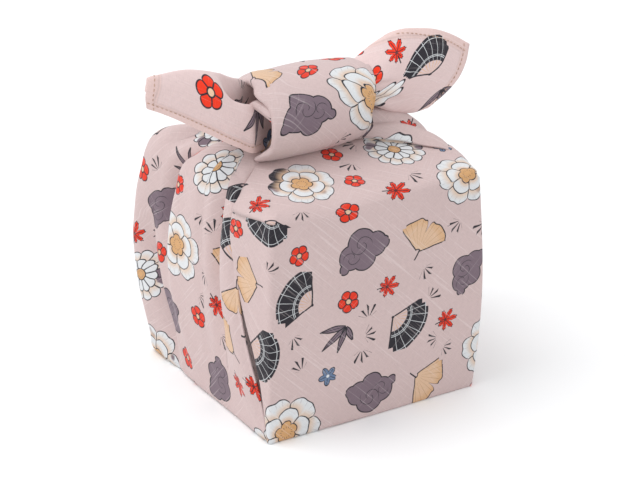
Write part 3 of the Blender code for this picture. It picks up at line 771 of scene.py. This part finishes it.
def band(cloth):
    """The broad band over the knot: the pocket's wall, the folded rim at the left, the outside."""
    angle = np.linspace(0, 2 * math.pi, 97)[:-1]
    at = np.linspace(BAND_ROWS[1, 0], BAND_ROWS[-1, 0], 56)
    outer = hermite(BAND_ROWS[:, 0], BAND_ROWS, at)
    flare = sum(out * bell(angle - place, width, power) for out, place, width, power in LIP_FLARES)
    rings = []
    for x, share in POCKET_ROWS:
        row = outer[:1].copy()
        row[0, 0] = x
        rings.append(band_points(row, angle, share)[0])
    for t in np.linspace(-math.pi / 2, math.pi / 2, 7)[:-1]:
        ring = band_points(outer[:1], angle, LIP_SIZE + (1 - LIP_SIZE) * math.sin(t))[0]
        ring[:, 0] -= (LIP_OUT + flare) * math.cos(t)
        rings.append(ring)
    grid = closed(np.concatenate([np.array(rings), band_points(outer, angle)]))
    run = lengths(np.swapaxes(grid, 0, 1)).T
    cloth.add(grid, turned(lengths(grid) + BAND_FLAT[0], run + BAND_FLAT[1]))


def spline_grid(lines, rows, cols):
    """A smooth surface through a net of lines."""
    net = np.array([*lines.values()], float).swapaxes(0, 1).copy()
    net[..., 2] += HEIGHT
    along = lengths(np.swapaxes(net, 0, 1)).mean(0)
    across = lengths(net).mean(0)
    net = hermite(along, net.reshape(len(net), -1), np.linspace(0, along[-1], rows)).reshape(rows, -1, 3)
    flipped = np.swapaxes(net, 0, 1).reshape(net.shape[1], -1)
    grid = hermite(across, flipped, np.linspace(0, across[-1], cols)).reshape(cols, rows, 3)
    return np.swapaxes(grid, 0, 1)


def pressed(grid, creases):
    """The grid with creases pressed in along Y."""
    for first, last, width, depth in creases:
        way = np.subtract(last, first)
        here = grid[..., [0, 2]] - first - (0, HEIGHT)
        along = here @ unit(way) / np.linalg.norm(way)
        off = here @ unit(np.array([-way[1], way[0]]))
        fade = np.clip(along / 0.15, 0, 1) * np.clip((1 - along) / 0.7, 0, 1)
        fold = bell(off, width) - 0.5 * bell(off - 1.8 * width, width)
        grid = grid.copy()
        grid[..., 1] += depth * fade * fold * (grid[..., 1] < 3)
    return grid


def hem_thickness(distance):
    """Twice the cloth within a hem, drawn in at the stitches."""
    hem = 1 - ease((distance - HEM_WIDTH + 0.3) / 0.6)
    return EAR_THICK * (1 + 0.9 * hem) - 0.5 * bell(distance - HEM_STITCH, 0.5)


def edge_distance(grid, *edges):
    """Distance of every point of a grid from the nearest of some edges."""
    points = grid.reshape(-1, 1, 3)
    best = np.full(len(points), 1e9)
    for edge in edges:
        a = edge[None, :-1]
        way = edge[None, 1:] - a
        t = np.clip(((points - a) * way).sum(-1) / (way * way).sum(-1), 0, 1)[..., None]
        best = np.minimum(best, np.linalg.norm(points - a - way * t, axis=-1).min(1))
    return best.reshape(grid.shape[:2])


def run_on(edge):
    """An edge with a straight piece added beyond its last point."""
    return np.concatenate([edge, edge[-1:] + unit(edge[-1] - edge[-6]) * 120.0])


def left_ear(cloth):
    grid = pressed(spline_grid(LEFT_NET, *LEFT_GRID), LEFT_PRESSED)
    up = lengths(grid)
    run = lengths(grid[:, :1].swapaxes(0, 1)).T
    along = -HALF_CLOTH + (run[-1:] - run) - LEFT_SLANT * up
    return hemmed(cloth, grid, np.stack([along, HALF_CLOTH - LEFT_ACROSS * up], -1), LEFT_HEM)


def right_ear(cloth):
    grid = pressed(spline_grid(RIGHT_NET, *RIGHT_GRID), RIGHT_PRESSED)
    row, start, stop = RIGHT_HEM
    from_end = edge_distance(grid, run_on(grid[-1, start:stop]))
    from_top = edge_distance(grid, run_on(grid[row:, start][::-1]))
    run = lengths(grid[::-1].swapaxes(0, 1)).T[::-1]
    mixed = from_end + (run - from_end) * ease((from_end - MIX_FROM) / MIX_OVER)
    flat = np.stack([HALF_CLOTH - mixed, from_top - HALF_CLOTH], -1)
    return hemmed(cloth, grid, flat, RIGHT_HEM, flip=True)


def hemmed(cloth, grid, flat, hem, flip=False):
    """Adds a free end, thicker at its two hems; gives the places of the stitches on both its faces."""
    row, start, stop = hem
    thick = hem_thickness(edge_distance(grid, grid[row:, start], grid[-1, start:stop]))
    face, normal = cloth.add_thick(grid, flat, thick, flip)
    out = []
    for side in (1, -1):
        pair = np.stack([face - normal * (thick[..., None] * (side < 0)), normal * side])
        first = inset(*pair[:, row:, start : start + HEM_STEPS])
        second = inset(*pair[:, ::-1][:, :HEM_STEPS].swapaxes(1, 2)[:, start:stop])
        out += stitch_line(first, second) + stitch_line(second, first)
    return out


def inset(face, normal):
    """Where the stitches of a hem run: points and normals a little way along each row."""
    run = lengths(face)
    i = np.arange(len(face))
    k = np.array([np.searchsorted(line, HEM_STITCH) for line in run]).clip(1, run.shape[1] - 1)
    t = ((HEM_STITCH - run[i, k - 1]) / (run[i, k] - run[i, k - 1]))[:, None]
    return face[i, k - 1] * (1 - t) + face[i, k] * t, normal[i, k]


def stitch_line(line, other):
    """Stitches along one line, (middle, way, normal), up to where it meets the other hem's line."""
    points, normals = line
    clear = np.linalg.norm(points[:, None] - other[0][None], axis=-1).min(1) > HEMS_APART
    points, normals = points[clear], normals[clear]
    run = lengths(points)

    def along(values, at):
        return np.stack([np.interp(at, run, part) for part in values.T], -1)

    at = np.arange(STITCH_PITCH / 2, run[-1] - STITCH_PITCH / 2, STITCH_PITCH)
    way = unit(along(points, at + 0.4) - along(points, at - 0.4))
    return list(zip(along(points, at), way, along(normals, at)))


def stitches(places):
    """All stitches in one mesh: short threads, sunk a little in the cloth."""
    rng = np.random.default_rng(STITCH_SEED)
    sides = STITCH_SIDES
    turn = np.linspace(0, 2 * math.pi, sides + 1)[:-1]
    last = (len(STITCH_STEPS) - 1) * sides
    points, faces = [], []
    for middle, way, normal in places:
        normal = unit(normal - way * (normal @ way))
        across = np.cross(way, normal)
        long, lean = STITCH_LONG * rng.uniform(0.85, 1.1), rng.uniform(-0.12, 0.12)
        first = len(points)
        for step, size in STITCH_STEPS:
            centre = middle + (way + across * lean) * step * long + normal * (0.2 * size - 0.1)
            for angle in turn:
                aside = across * math.cos(angle) + normal * math.sin(angle)
                points.append(centre + aside * size * STITCH_THICK / 2)
        for k in range(first, first + last, sides):
            for n in range(sides):
                m = (n + 1) % sides
                faces.append((k + n, k + m, k + sides + m, k + sides + n))
        faces.append(tuple(range(first + sides - 1, first - 1, -1)))
        faces.append(tuple(range(first + last, first + last + sides)))
    return mesh_object("hem_stitches", points, faces)


def swept(cloth, path, radii, flat_start):
    """A soft roll of cloth along a path."""
    path = np.array(path, float) + (0, 0, HEIGHT)
    place = lengths(path)
    at = np.linspace(0, place[-1], 24)
    centre = hermite(place, path, at)
    radius = hermite(place, np.array(radii, float), at)[:, None, None]
    way = unit(np.gradient(centre, axis=0))
    one = unit(np.cross(way, (0, 0, 1)))
    two = np.cross(one, way)
    turn = np.linspace(0, 2 * math.pi, 21)[None, :, None]
    grid = centre[:, None] + radius * (np.cos(turn) * one[:, None] + np.sin(turn) * two[:, None])
    around = turn[..., 0] * radius[..., 0]
    cloth.add(grid, np.stack([at[:, None] + 0 * around, around], -1) + flat_start)


def hidden_layers(cloth):
    """Layers that the wrap covers: the back flap under the front one, and pleats at the sides."""
    high, low = HEIGHT - 6.0, 3
    near, deep, side = HALF_D - 3.5, HALF_D - 5.0, HALF_W - 11.0
    layers = [((-side, -deep, high), (side, -deep, high), (side, deep, high), (-side, deep, high))]
    for y in (-near, near):
        layers.append(((-side, y, 30), (side, y, 30), (side, y, high - 4), (-side, y, high - 4)))
    for x in (-side, side):
        layers.append(((x, -deep, low), (x, deep, low), (x, deep, high), (x, -deep, high)))
    flat = np.stack(np.meshgrid(np.linspace(0, 1, 9), np.linspace(0, 1, 9)), -1)
    u, v = flat[..., :1], flat[..., 1:]
    for corners in layers:
        a, b, c, d = np.array(corners)
        grid = (a * (1 - u) + b * u) * (1 - v) + (d * (1 - u) + c * u) * v
        cloth.add(grid, flat * 100, share=0.1)


# ---------------------------------------------------------------------------- the print

LAYOUT_SEED = 7
TRIES = 90
# Changed motifs: the place of the one changed, then kind, a, b, radius, turn.
CHANGED = (
    ((134.2, -127.5), (3, 138.0, -118.0, 15.2, 0.8)),
    ((-224.4, 239.4), (7, -221.0, 231.0, 8.6, 0.4)),
    ((227.6, -238.5), (2, 226.5, -236.0, 13.0, 2.4)),
)


def layout():
    """Places of the motifs on the flat cloth, the largest first: kind, a, b, radius, turn."""
    rng = np.random.default_rng(LAYOUT_SEED)
    placed = np.zeros((0, 5))
    for kind, (_, _, radius, gap, number, _) in enumerate(MOTIFS):
        for _ in range(number):
            size = radius * rng.uniform(0.88, 1.1)
            spots = rng.uniform(-HALF_CLOTH, HALF_CLOTH, (TRIES, 2))
            turn = rng.uniform(0, 2 * math.pi)
            apart = np.linalg.norm(spots[:, None] - placed[None, :, 1:3], axis=-1)
            free = np.all(apart > placed[:, 3] + size + gap, axis=1)
            if free.any():
                a, b = spots[np.argmax(free)]
                placed = np.vstack([placed, (kind, a, b, size, turn)])
    for (a, b), motif in CHANGED:
        placed[np.argmin(np.hypot(placed[:, 1] - a, placed[:, 2] - b))] = motif
    return placed


def printed(flat):
    """For each face its kind of motif, 0 for none, and its corners' places within that motif."""
    centre = flat.mean(axis=1)
    kinds = np.zeros(len(flat), np.int32)
    local = np.full(flat.shape, 9.0)
    for kind, a, b, size, turn in layout():
        within = np.flatnonzero((np.hypot(centre[:, 0] - a, centre[:, 1] - b) < size) & (kinds == 0))
        if len(within):
            c, s = math.cos(turn), math.sin(turn)
            drawn = size * MOTIFS[int(kind)][-1]
            local[within] = (flat[within] - (a, b)) @ np.array(((c, -s), (s, c))) / drawn
            kinds[within] = int(kind) + 1
    return kinds, local.reshape(-1, 2)


class Num:
    """A value in a node tree that can be reckoned with."""

    def __init__(self, tree, socket):
        self.tree, self.socket = tree, socket

    def __rsub__(self, other):
        return calc("SUBTRACT", other, self)

    def __abs__(self):
        return calc("ABSOLUTE", self)


OPERATIONS = {
    "add": "ADD",
    "radd": "ADD",
    "sub": "SUBTRACT",
    "mul": "MULTIPLY",
    "rmul": "MULTIPLY",
    "truediv": "DIVIDE",
    "pow": "POWER",
}
for name, kind in OPERATIONS.items():
    setattr(Num, f"__{name}__", lambda self, other, kind=kind: calc(kind, self, other))


def fill(made, inputs):
    """Sets each socket of a node to a value, or links it to the one that is given."""
    for name, value in inputs.items():
        value = getattr(value, "socket", value)
        if isinstance(value, bpy.types.NodeSocket):
            made.id_data.links.new(value, made.inputs[name])
        else:
            made.inputs[name].default_value = value


def node(tree, kind, inputs, **settings):
    made = tree.nodes.new("ShaderNode" + kind)
    for name, value in settings.items():
        setattr(made, name, value)
    fill(made, inputs)
    return made


def calc(kind, *values):
    tree = next(value.tree for value in values if isinstance(value, Num))
    return Num(tree, node(tree, "Math", dict(enumerate(values)), operation=kind).outputs[0])


def both(*masks):
    """The least of some masks."""
    return reduce(lambda one, two: calc("MINIMUM", one, two), masks)


def either(*masks):
    return reduce(lambda one, two: calc("MAXIMUM", one, two), masks)


def sine(value):
    return calc("SINE", value)


def rise_between(low, high, value):
    """0 under low, 1 over high, smooth between them."""
    made = node(value.tree, "MapRange", {0: value, 1: low, 2: high}, interpolation_type="SMOOTHSTEP")
    return Num(value.tree, made.outputs[0])


def inside(distance, soft=0.02):
    """1 where a signed distance is under 0."""
    return 1.0 - rise_between(-soft, soft, distance)


def between(inner, outer, soft=0.01):
    """1 outside one signed distance and inside another."""
    return both(rise_between(0.0, soft, inner), inside(outer))


def line(distance, width):
    return 1.0 - rise_between(width * 0.55, width * 1.15, abs(distance))


def rays(t, count, width):
    """Lines out from a point, twice the count in the whole turn."""
    return line(sine(t * count), width)


def lobes(t, count, offset=0.0):
    """|cos| with that many crests round the turn."""
    return abs(calc("COSINE", t * (count / 2) + offset))


def dividers(r, t, count, width, offset=0.0):
    """Lines between the petals of such lobes."""
    return line(r * lobes(t, count, offset) * (2 / count), width)


class Drawing:
    """One kind of motif: its x and y, both a little unsteady, and its colour as painted so far."""

    def __init__(self, tree, radius):
        self.tree = tree
        self.ink = 0.34 / radius
        self.flat = node(tree, "UVMap", {}, uv_map="flat").outputs[0]
        place = node(tree, "UVMap", {}, uv_map="motif")
        split = node(tree, "SeparateXYZ", {0: place.outputs[0]})
        self.x = Num(tree, split.outputs[0]) + (self.noise(0.12, 2) - 0.5) * 0.1
        self.y = Num(tree, split.outputs[1]) + (self.noise(0.13, 1, 40.0) - 0.5) * 0.1
        self.colour = node(tree, "RGB", {}).outputs[0]
        self.colour.default_value = (*PINK, 1)

    def noise(self, scale, detail=1, offset=0.0):
        """Noise over the flat cloth, scale in turns per mm."""
        place = node(self.tree, "VectorMath", {0: self.flat, 1: (offset, offset * 0.7, offset * 1.3)})
        entries = {"Vector": place.outputs[0], "Scale": scale, "Detail": detail}
        return Num(self.tree, node(self.tree, "TexNoise", entries).outputs["Fac"])

    def polar(self, x0=0.0, y0=0.0):
        """Radius and angle from a point; the angle is 0 upward."""
        x, y = self.x - x0, self.y - y0
        return calc("SQRT", x * x + y * y), calc("ARCTAN2", x, y)

    def paint(self, mask, colour):
        entries = {0: mask, 6: self.colour, 7: (*colour, 1)}
        self.colour = node(self.tree, "Mix", entries, data_type="RGBA").outputs[2]

    def ink_in(self, edges, *masks):
        """Paints ink along some edges and where any of some masks is."""
        self.paint(either(*(line(edge, self.ink) for edge in edges), *masks), INK)


def draw_peony(d):
    r, t = d.polar()
    one = r - (0.66 + 0.24 * lobes(t, 6) ** 0.55 - 0.05 * lobes(t, 6) ** 14)
    two = r - (0.42 + 0.17 * lobes(t, 5, 0.7) ** 0.5)
    three = r - (0.19 + 0.09 * lobes(t, 5, 0.2) ** 0.5)
    cloudy = d.noise(0.055, 2, 9.0)
    d.paint(inside(one, 0.01), WHITE)
    d.paint(both(inside(one), rise_between(0.60, 0.64, cloudy)), SMOKE)
    d.paint(both(inside(one, 0.03), rise_between(0.655, 0.675, cloudy)), INK)
    d.paint(both(rise_between(0.24, 0.0, two) * 0.75, between(two, one, 0.03)), PEACH)
    d.paint(inside(two, 0.01), WHITE)
    d.paint(both(rise_between(0.18, 0.0, three) * 0.9, between(three, two, 0.03)), PEACH)
    d.paint(inside(three, 0.01), TAN)
    d.paint(both(rays(t, 15, 0.16), rise_between(-0.2, -0.09, one), inside(one + 0.03)) * 0.35, SMOKE)
    outer = both(dividers(r, t, 6, d.ink), between(two, one))
    middle = both(dividers(r, t, 5, d.ink, 0.7), between(three, two))
    dots = both(rays(t, 7, 0.3), line(r - 0.13, 0.025))
    d.ink_in((one, two, three), outer, middle, dots)


def draw_daisy(d):
    r, t = d.polar()
    one = r - (0.80 + 0.12 * lobes(t, 13) ** 0.6)
    two = r - (0.50 + 0.10 * lobes(t, 11, 0.5) ** 0.6)
    three = r - 0.20
    d.paint(inside(one, 0.01), WHITE)
    d.paint(both(rise_between(0.30, 0.02, two) * 0.6, between(two, one, 0.02)), PEACH)
    d.paint(both(inside(one), rise_between(0.6, 0.64, d.noise(0.07, 2, 21.0))), SMOKE)
    d.paint(inside(two, 0.01), WHITE)
    d.paint(inside(three, 0.01), TAN)
    outer = both(dividers(r, t, 13, d.ink), between(two, one))
    middle = both(dividers(r, t, 11, d.ink, 0.5), between(three, two))
    seeds = both(rays(t, 9, 0.3), line(r - 0.12, 0.03))
    d.ink_in((one, two, three), outer, middle, seeds)


def draw_fan(d):
    r, t = d.polar(0.0, -0.72)
    reach = (abs(t) - 1.02) * r
    leaf = both(inside(reach, 0.012), rise_between(0.60, 0.62, r), inside(r - 1.58, 0.012))
    d.paint(both(rays(t, 12.3, 0.3), inside(reach), inside(r - 0.6), rise_between(0.05, 0.08, r)), TAN)
    d.paint(leaf, INK)
    ribs = both(rays(t, 12.3, 0.12), leaf) * 0.85
    arcs = both(either(*(line(r - at, 0.014) for at in (0.78, 0.84, 1.46))), leaf) * 0.9
    d.paint(either(ribs, arcs), WHITE)
    guards = both(line(reach, d.ink * 1.6), inside(r - 1.6))
    d.paint(either(guards, line(r, 0.07)), INK)


def draw_cloud(d):
    discs = (
        # x, y, radius
        (-0.44, -0.08, 0.40),
        (-0.06, 0.22, 0.48),
        (0.40, 0.02, 0.42),
        (0.06, -0.26, 0.40),
        (-0.72, -0.22, 0.20),
        (0.78, -0.20, 0.16),
    )
    scrolls = (
        # x, y, winding, width, radius, where it starts
        (-0.04, 0.16, 14.0, 0.22, 0.36, 0.06),
        (0.42, -0.02, -15.0, 0.20, 0.28, 0.05),
    )
    edge = both(*(d.polar(x0, y0)[0] - size for x0, y0, size in discs))
    d.paint(inside(edge, 0.012), SMOKE)
    curls = []
    for x0, y0, winding, width, size, start in scrolls:
        r, t = d.polar(x0, y0)
        curl = line(sine(t + r * winding), width)
        curls.append(both(curl, inside(r - size), rise_between(start, start + 0.04, r)) * 0.8)
    d.ink_in((edge,), *curls)


def draw_ginkgo(d):
    r, t = d.polar(0.0, -0.62)
    frill = sine(t * 17 + 3 * sine(t * 5)) * 0.035
    notch = 0.5 * calc("EXPONENT", abs(t + 0.04) * -16.0)
    edge = either(r - (1.42 + frill - notch), (abs(t) - 1.02) * r, 0.12 - r)
    up = d.y + 0.62
    stem = line(d.x + 0.06 + 0.35 * up * up * -1.0, 0.035)
    stem = both(stem, inside(d.y + 0.52), rise_between(-0.98, -0.95, d.y))
    d.paint(inside(edge, 0.012), PEACH)
    d.paint(both(rise_between(0.95, 1.35, r) * 0.55, inside(edge)), TAN)
    d.paint(both(rays(t, 14.0, 0.16), inside(edge + 0.04), rise_between(0.3, 0.4, r)) * 0.55, VEIN)
    d.paint(either(line(edge, d.ink * 1.1), stem), INK)


def draw_bamboo(d):
    leaves, lines = [], []
    for turn, length in ((-0.62, 0.95), (0.02, 1.1), (0.58, 0.9), (1.35, 0.62)):
        c, s = math.cos(turn), math.sin(turn)
        along = (d.x * s + (d.y + 0.7) * c) / (1.45 * length)
        across = d.x * c - (d.y + 0.7) * s
        bow = sine(both(either(along, 0.0), 1.0) ** 0.8 * math.pi)
        edge = abs(across) - 0.135 * bow
        leaf = both(inside(edge, 0.012), rise_between(0.02, 0.04, along), inside(along - 0.99))
        leaves.append(leaf)
        lines.append(both(line(across, 0.02), leaf) * 0.8)
        lines.append(both(line(edge, d.ink), rise_between(0.0, 0.03, along), inside(along - 1.0)))
    d.paint(either(*leaves), SMOKE)
    d.paint(either(*lines), INK)


def draw_maple(d):
    r, t = d.polar(0.0, -0.08)
    crest = lobes(t, 7) ** 1.05
    edge = r - (0.30 + (0.46 + 0.16 * calc("COSINE", t)) * crest + 0.035 * sine(t * 31))
    stem = both(line(d.x - 0.12 * (d.y + 0.3), 0.05), inside(d.y + 0.3), rise_between(-0.95, -0.9, d.y))
    ribs = both(line(r * sine(t * 3.5) * 0.286, 0.035), inside(edge + 0.14))
    d.paint(inside(edge), RED)
    d.ink_in((edge,), stem, ribs * 0.9)


def draw_camellia(d):
    r, t = d.polar()
    one = r - (0.62 + 0.26 * lobes(t, 5) ** 0.5)
    two = r - 0.24
    d.paint(inside(one), RED)
    d.paint(inside(two), PEACH)
    d.ink_in((one, two), both(dividers(r, t, 5, d.ink), between(two, one, 0.02)))


def draw_bellflower(d):
    r, t = d.polar()
    one = r - (0.46 + 0.42 * lobes(t, 5) ** 1.3)
    d.paint(inside(one), SLATE)
    d.paint(inside(r - 0.14, 0.03), WHITE)
    ribs = both(line(r * sine(t * 2.5) * 0.4, 0.03), inside(one + 0.12), rise_between(0.2, 0.22, r))
    d.ink_in((one,), ribs)


def draw_needles(d):
    r, t = d.polar(0.0, -0.8)
    strokes = both(rays(t, 5.5, 0.58), inside(abs(t) - 1.08), rise_between(0.25, 0.3, r))
    d.paint(both(strokes, inside(r - (1.35 + 0.2 * sine(t * 9.0)))), INK)


# Every kind of motif: its radius and the gap kept round it, mm, how many are tried for, and its
# drawn size as a share of its place, so that some outlines keep clear of the rim.
MOTIFS = (
    # name, drawing, radius, gap, number, drawn
    ("peony", draw_peony, 20.0, 1.0, 44, 1.0),
    ("daisy", draw_daisy, 15.5, 1.0, 24, 1.0),
    ("fan", draw_fan, 14.0, 1.0, 24, 0.9),
    ("cloud", draw_cloud, 14.5, 1.0, 22, 1.0),
    ("ginkgo", draw_ginkgo, 12.5, 0.8, 26, 0.88),
    ("bamboo", draw_bamboo, 10.0, 0.8, 44, 1.0),
    ("maple", draw_maple, 7.6, 0.6, 84, 1.0),
    ("camellia", draw_camellia, 6.0, 0.5, 60, 1.0),
    ("bellflower", draw_bellflower, 5.6, 0.5, 36, 1.0),
    ("needles", draw_needles, 4.6, 0.4, 150, 1.0),
)


def weave_group():
    """Colour in; colour with slubs and yarn, painted shade along the hems and painted light on the ears, and
    the woven surface's normal, out.
    """
    group = bpy.data.node_groups.new("slub_weave", "ShaderNodeTree")
    sockets = (("Colour", "INPUT", "Color"), ("Colour", "OUTPUT", "Color"), ("Normal", "OUTPUT", "Vector"))
    for name, way, kind in sockets:
        group.interface.new_socket(name, in_out=way, socket_type="NodeSocket" + kind)
    entry, leave = group.nodes.new("NodeGroupInput"), group.nodes.new("NodeGroupOutput")
    flat = node(group, "UVMap", {}, uv_map="flat").outputs[0]

    def streaks(along, across, offset, detail=1.0):
        """Noise over the flat cloth, its turns per mm given for the two threads."""
        entries = {0: flat, 1: (along, across, 1), 2: (offset, offset, offset)}
        place = node(group, "VectorMath", entries, operation="MULTIPLY_ADD")
        entries = {"Vector": place.outputs[0], "Scale": 1.0, "Detail": detail}
        return Num(group, node(group, "TexNoise", entries).outputs["Fac"])

    slub = rise_between(0.585, 0.72, streaks(0.028, 1.05, 3.0))
    weft = rise_between(0.60, 0.74, streaks(1.15, 0.030, 17.0))
    yarn = streaks(0.35, 2.2, 31.0) + streaks(2.2, 0.35, 47.0) - 1.0
    cloudy = streaks(0.03, 0.03, 59.0, 2.0) - 0.5
    gain = 1.0 + yarn * 0.14 + cloudy * 0.07 + slub * 0.05
    split = node(group, "SeparateXYZ", {0: flat})
    a, b = Num(group, split.outputs[0]), Num(group, split.outputs[1])
    edge = HALF_CLOTH - either(abs(a), abs(b))
    hem = inside(edge - HEM_WIDTH - 0.5, 0.35)
    # Painted shade: a darker line along the stitches' groove and a fainter one along the hem's inner edge.
    fold = line(edge - HEM_STITCH, 0.5) * 0.5 + line(edge - HEM_WIDTH - 0.6, 0.4) * 0.25
    # Painted light: at the corners of the flat cloth, which are the thin single-layer ends, the colour is
    # made up to 24% lighter, standing in for light that comes through from behind.
    painted_backlight = rise_between(370.0, 420.0, abs(a - b))
    gain = (gain - fold * 0.22) * (1.0 + painted_backlight * 0.24)
    shade = node(group, "VectorMath", {0: entry.outputs[0], "Scale": gain}, operation="SCALE")
    entries = {0: slub * 0.22 + weft * 0.10, 6: shade.outputs[0], 7: (*SLUB_LIGHT, 1)}
    light = node(group, "Mix", entries, data_type="RGBA")
    # Painted shade: within the hem the colour is multiplied darker and warmer, as less light comes through
    # its two layers.
    entries = {0: hem * 0.6, 6: light.outputs[2], 7: (*HEM_SHADE_TINT, 1)}
    shaded_hem = node(group, "Mix", entries, data_type="RGBA", blend_type="MULTIPLY")
    height = yarn * 0.8 + slub * 0.7 + weft * 0.4
    bump = node(group, "Bump", {"Strength": 0.5, "Distance": 0.0002, "Height": height})
    fill(leave, {0: shaded_hem.outputs[2], 1: bump.outputs[0]})
    return group


def new_material(name):
    """A material and its shader."""
    material = bpy.data.materials.new(name)
    material.use_nodes = True
    return material, material.node_tree.nodes["Principled BSDF"]


def cloth_material(name, draw, radius, weave):
    material, shader = new_material(name)
    tree = material.node_tree
    drawing = Drawing(tree, radius)
    if draw:
        draw(drawing)
    woven = node(tree, "Group", {}, node_tree=weave)
    fill(woven, {0: drawing.colour})
    fill(shader, {"Base Color": woven.outputs[0], "Normal": woven.outputs[1], "Roughness": 0.86})
    fill(shader, {"Specular IOR Level": 0.22, "Sheen Weight": 0.18, "Sheen Roughness": 0.45})
    return material


def thread_material():
    """Sewing cotton, its ply and small changes of colour by place."""
    material, shader = new_material("hem_thread")
    tree = material.node_tree
    place = node(tree, "TexCoord", {})
    noise = node(tree, "TexNoise", {"Vector": place.outputs["Object"], "Scale": 900.0}).outputs["Fac"]
    ramp = node(tree, "ValToRGB", {"Fac": noise})
    for element, position, colour in zip(ramp.color_ramp.elements, (0.3, 0.7), (THREAD_DARK, THREAD_LIGHT)):
        element.position = position
        element.color = (*colour, 1)
    bump = node(tree, "Bump", {"Strength": 0.4, "Distance": 0.0001, "Height": noise})
    fill(shader, {"Base Color": ramp.outputs["Color"], "Normal": bump.outputs[0]})
    fill(shader, {"Roughness": 0.7, "Specular IOR Level": 0.3})
    return material


# ---------------------------------------------------------------------------- the studio

def set_camera():
    azimuth, elevation, roll = (math.radians(a) for a in (CAMERA_AZIMUTH, CAMERA_ELEVATION, CAMERA_ROLL))
    level = math.cos(elevation)
    away = Vector((math.sin(azimuth) * level, -math.cos(azimuth) * level, math.sin(elevation)))
    right = (-away).cross(Vector((0, 0, 1))).normalized()
    up = right.cross(-away)
    right, up = right * math.cos(roll) + up * math.sin(roll), up * math.cos(roll) - right * math.sin(roll)
    camera = linked("camera", bpy.data.cameras.new("camera"))
    place = Matrix((right, up, away)).transposed().to_4x4()
    place.translation = Vector(CAMERA_TARGET) + away * CAMERA_DISTANCE
    camera.matrix_world = place
    camera.data.angle = math.radians(CAMERA_ANGLE)
    camera.data.clip_start = 0.05
    camera.data.clip_end = 20
    bpy.context.scene.camera = camera


def lamp(name, offset, size, power):
    thing = linked(name, bpy.data.lights.new(name, "AREA"))
    thing.data.energy, thing.data.size, thing.data.color = power, size, LAMP_COLOUR
    thing.location = LAMP_TARGET + Vector(offset)
    thing.rotation_mode = "QUATERNION"
    thing.rotation_quaternion = (LAMP_TARGET - thing.location).to_track_quat("-Z", "Y")


def studio():
    s = FLOOR_HALF
    floor = mesh_object("floor", [(-s, -s, 0), (s, -s, 0), (s, s, 0), (-s, s, 0)], [(0, 1, 2, 3)])
    material, shader = new_material("floor")
    fill(shader, {"Base Color": (0.96, 0.96, 0.96, 1), "Roughness": 0.9})
    floor.data.materials.append(material)
    world = bpy.data.worlds.new("studio")
    bpy.context.scene.world = world
    world.use_nodes = True
    fill(world.node_tree.nodes["Background"], {0: (0.97, 0.985, 1.0, 1), 1: 0.92})
    for entry in LAMPS:
        lamp(*entry)


cloth = Cloth()
block(cloth)
gather(cloth, LEFT_GATHER, LEFT_CREASES, LEFT_LAPS, LEFT_RIDGES, -1, LEFT_SEED)
gather(cloth, RIGHT_GATHER, RIGHT_CREASES, RIGHT_LAPS, RIGHT_RIDGES, 1, RIGHT_SEED)
band(cloth)
sewn = left_ear(cloth) + right_ear(cloth)
swept(cloth, INNER_ROLL, INNER_RADII, INNER_FLAT)
hidden_layers(cloth)
wrap = cloth.made("wrap_cloth")
weave = weave_group()
wrap.data.materials.append(cloth_material("cloth_plain", None, 1.0, weave))
for name, draw, radius, *_ in MOTIFS:
    wrap.data.materials.append(cloth_material("cloth_" + name, draw, radius, weave))
thread = stitches(sewn)
thread.data.materials.append(thread_material())
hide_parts("furoshiki_cloth")
for piece in (wrap, thread):
    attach(piece, "root")

set_camera()
studio()
bpy.context.scene.view_settings.view_transform = "Standard"
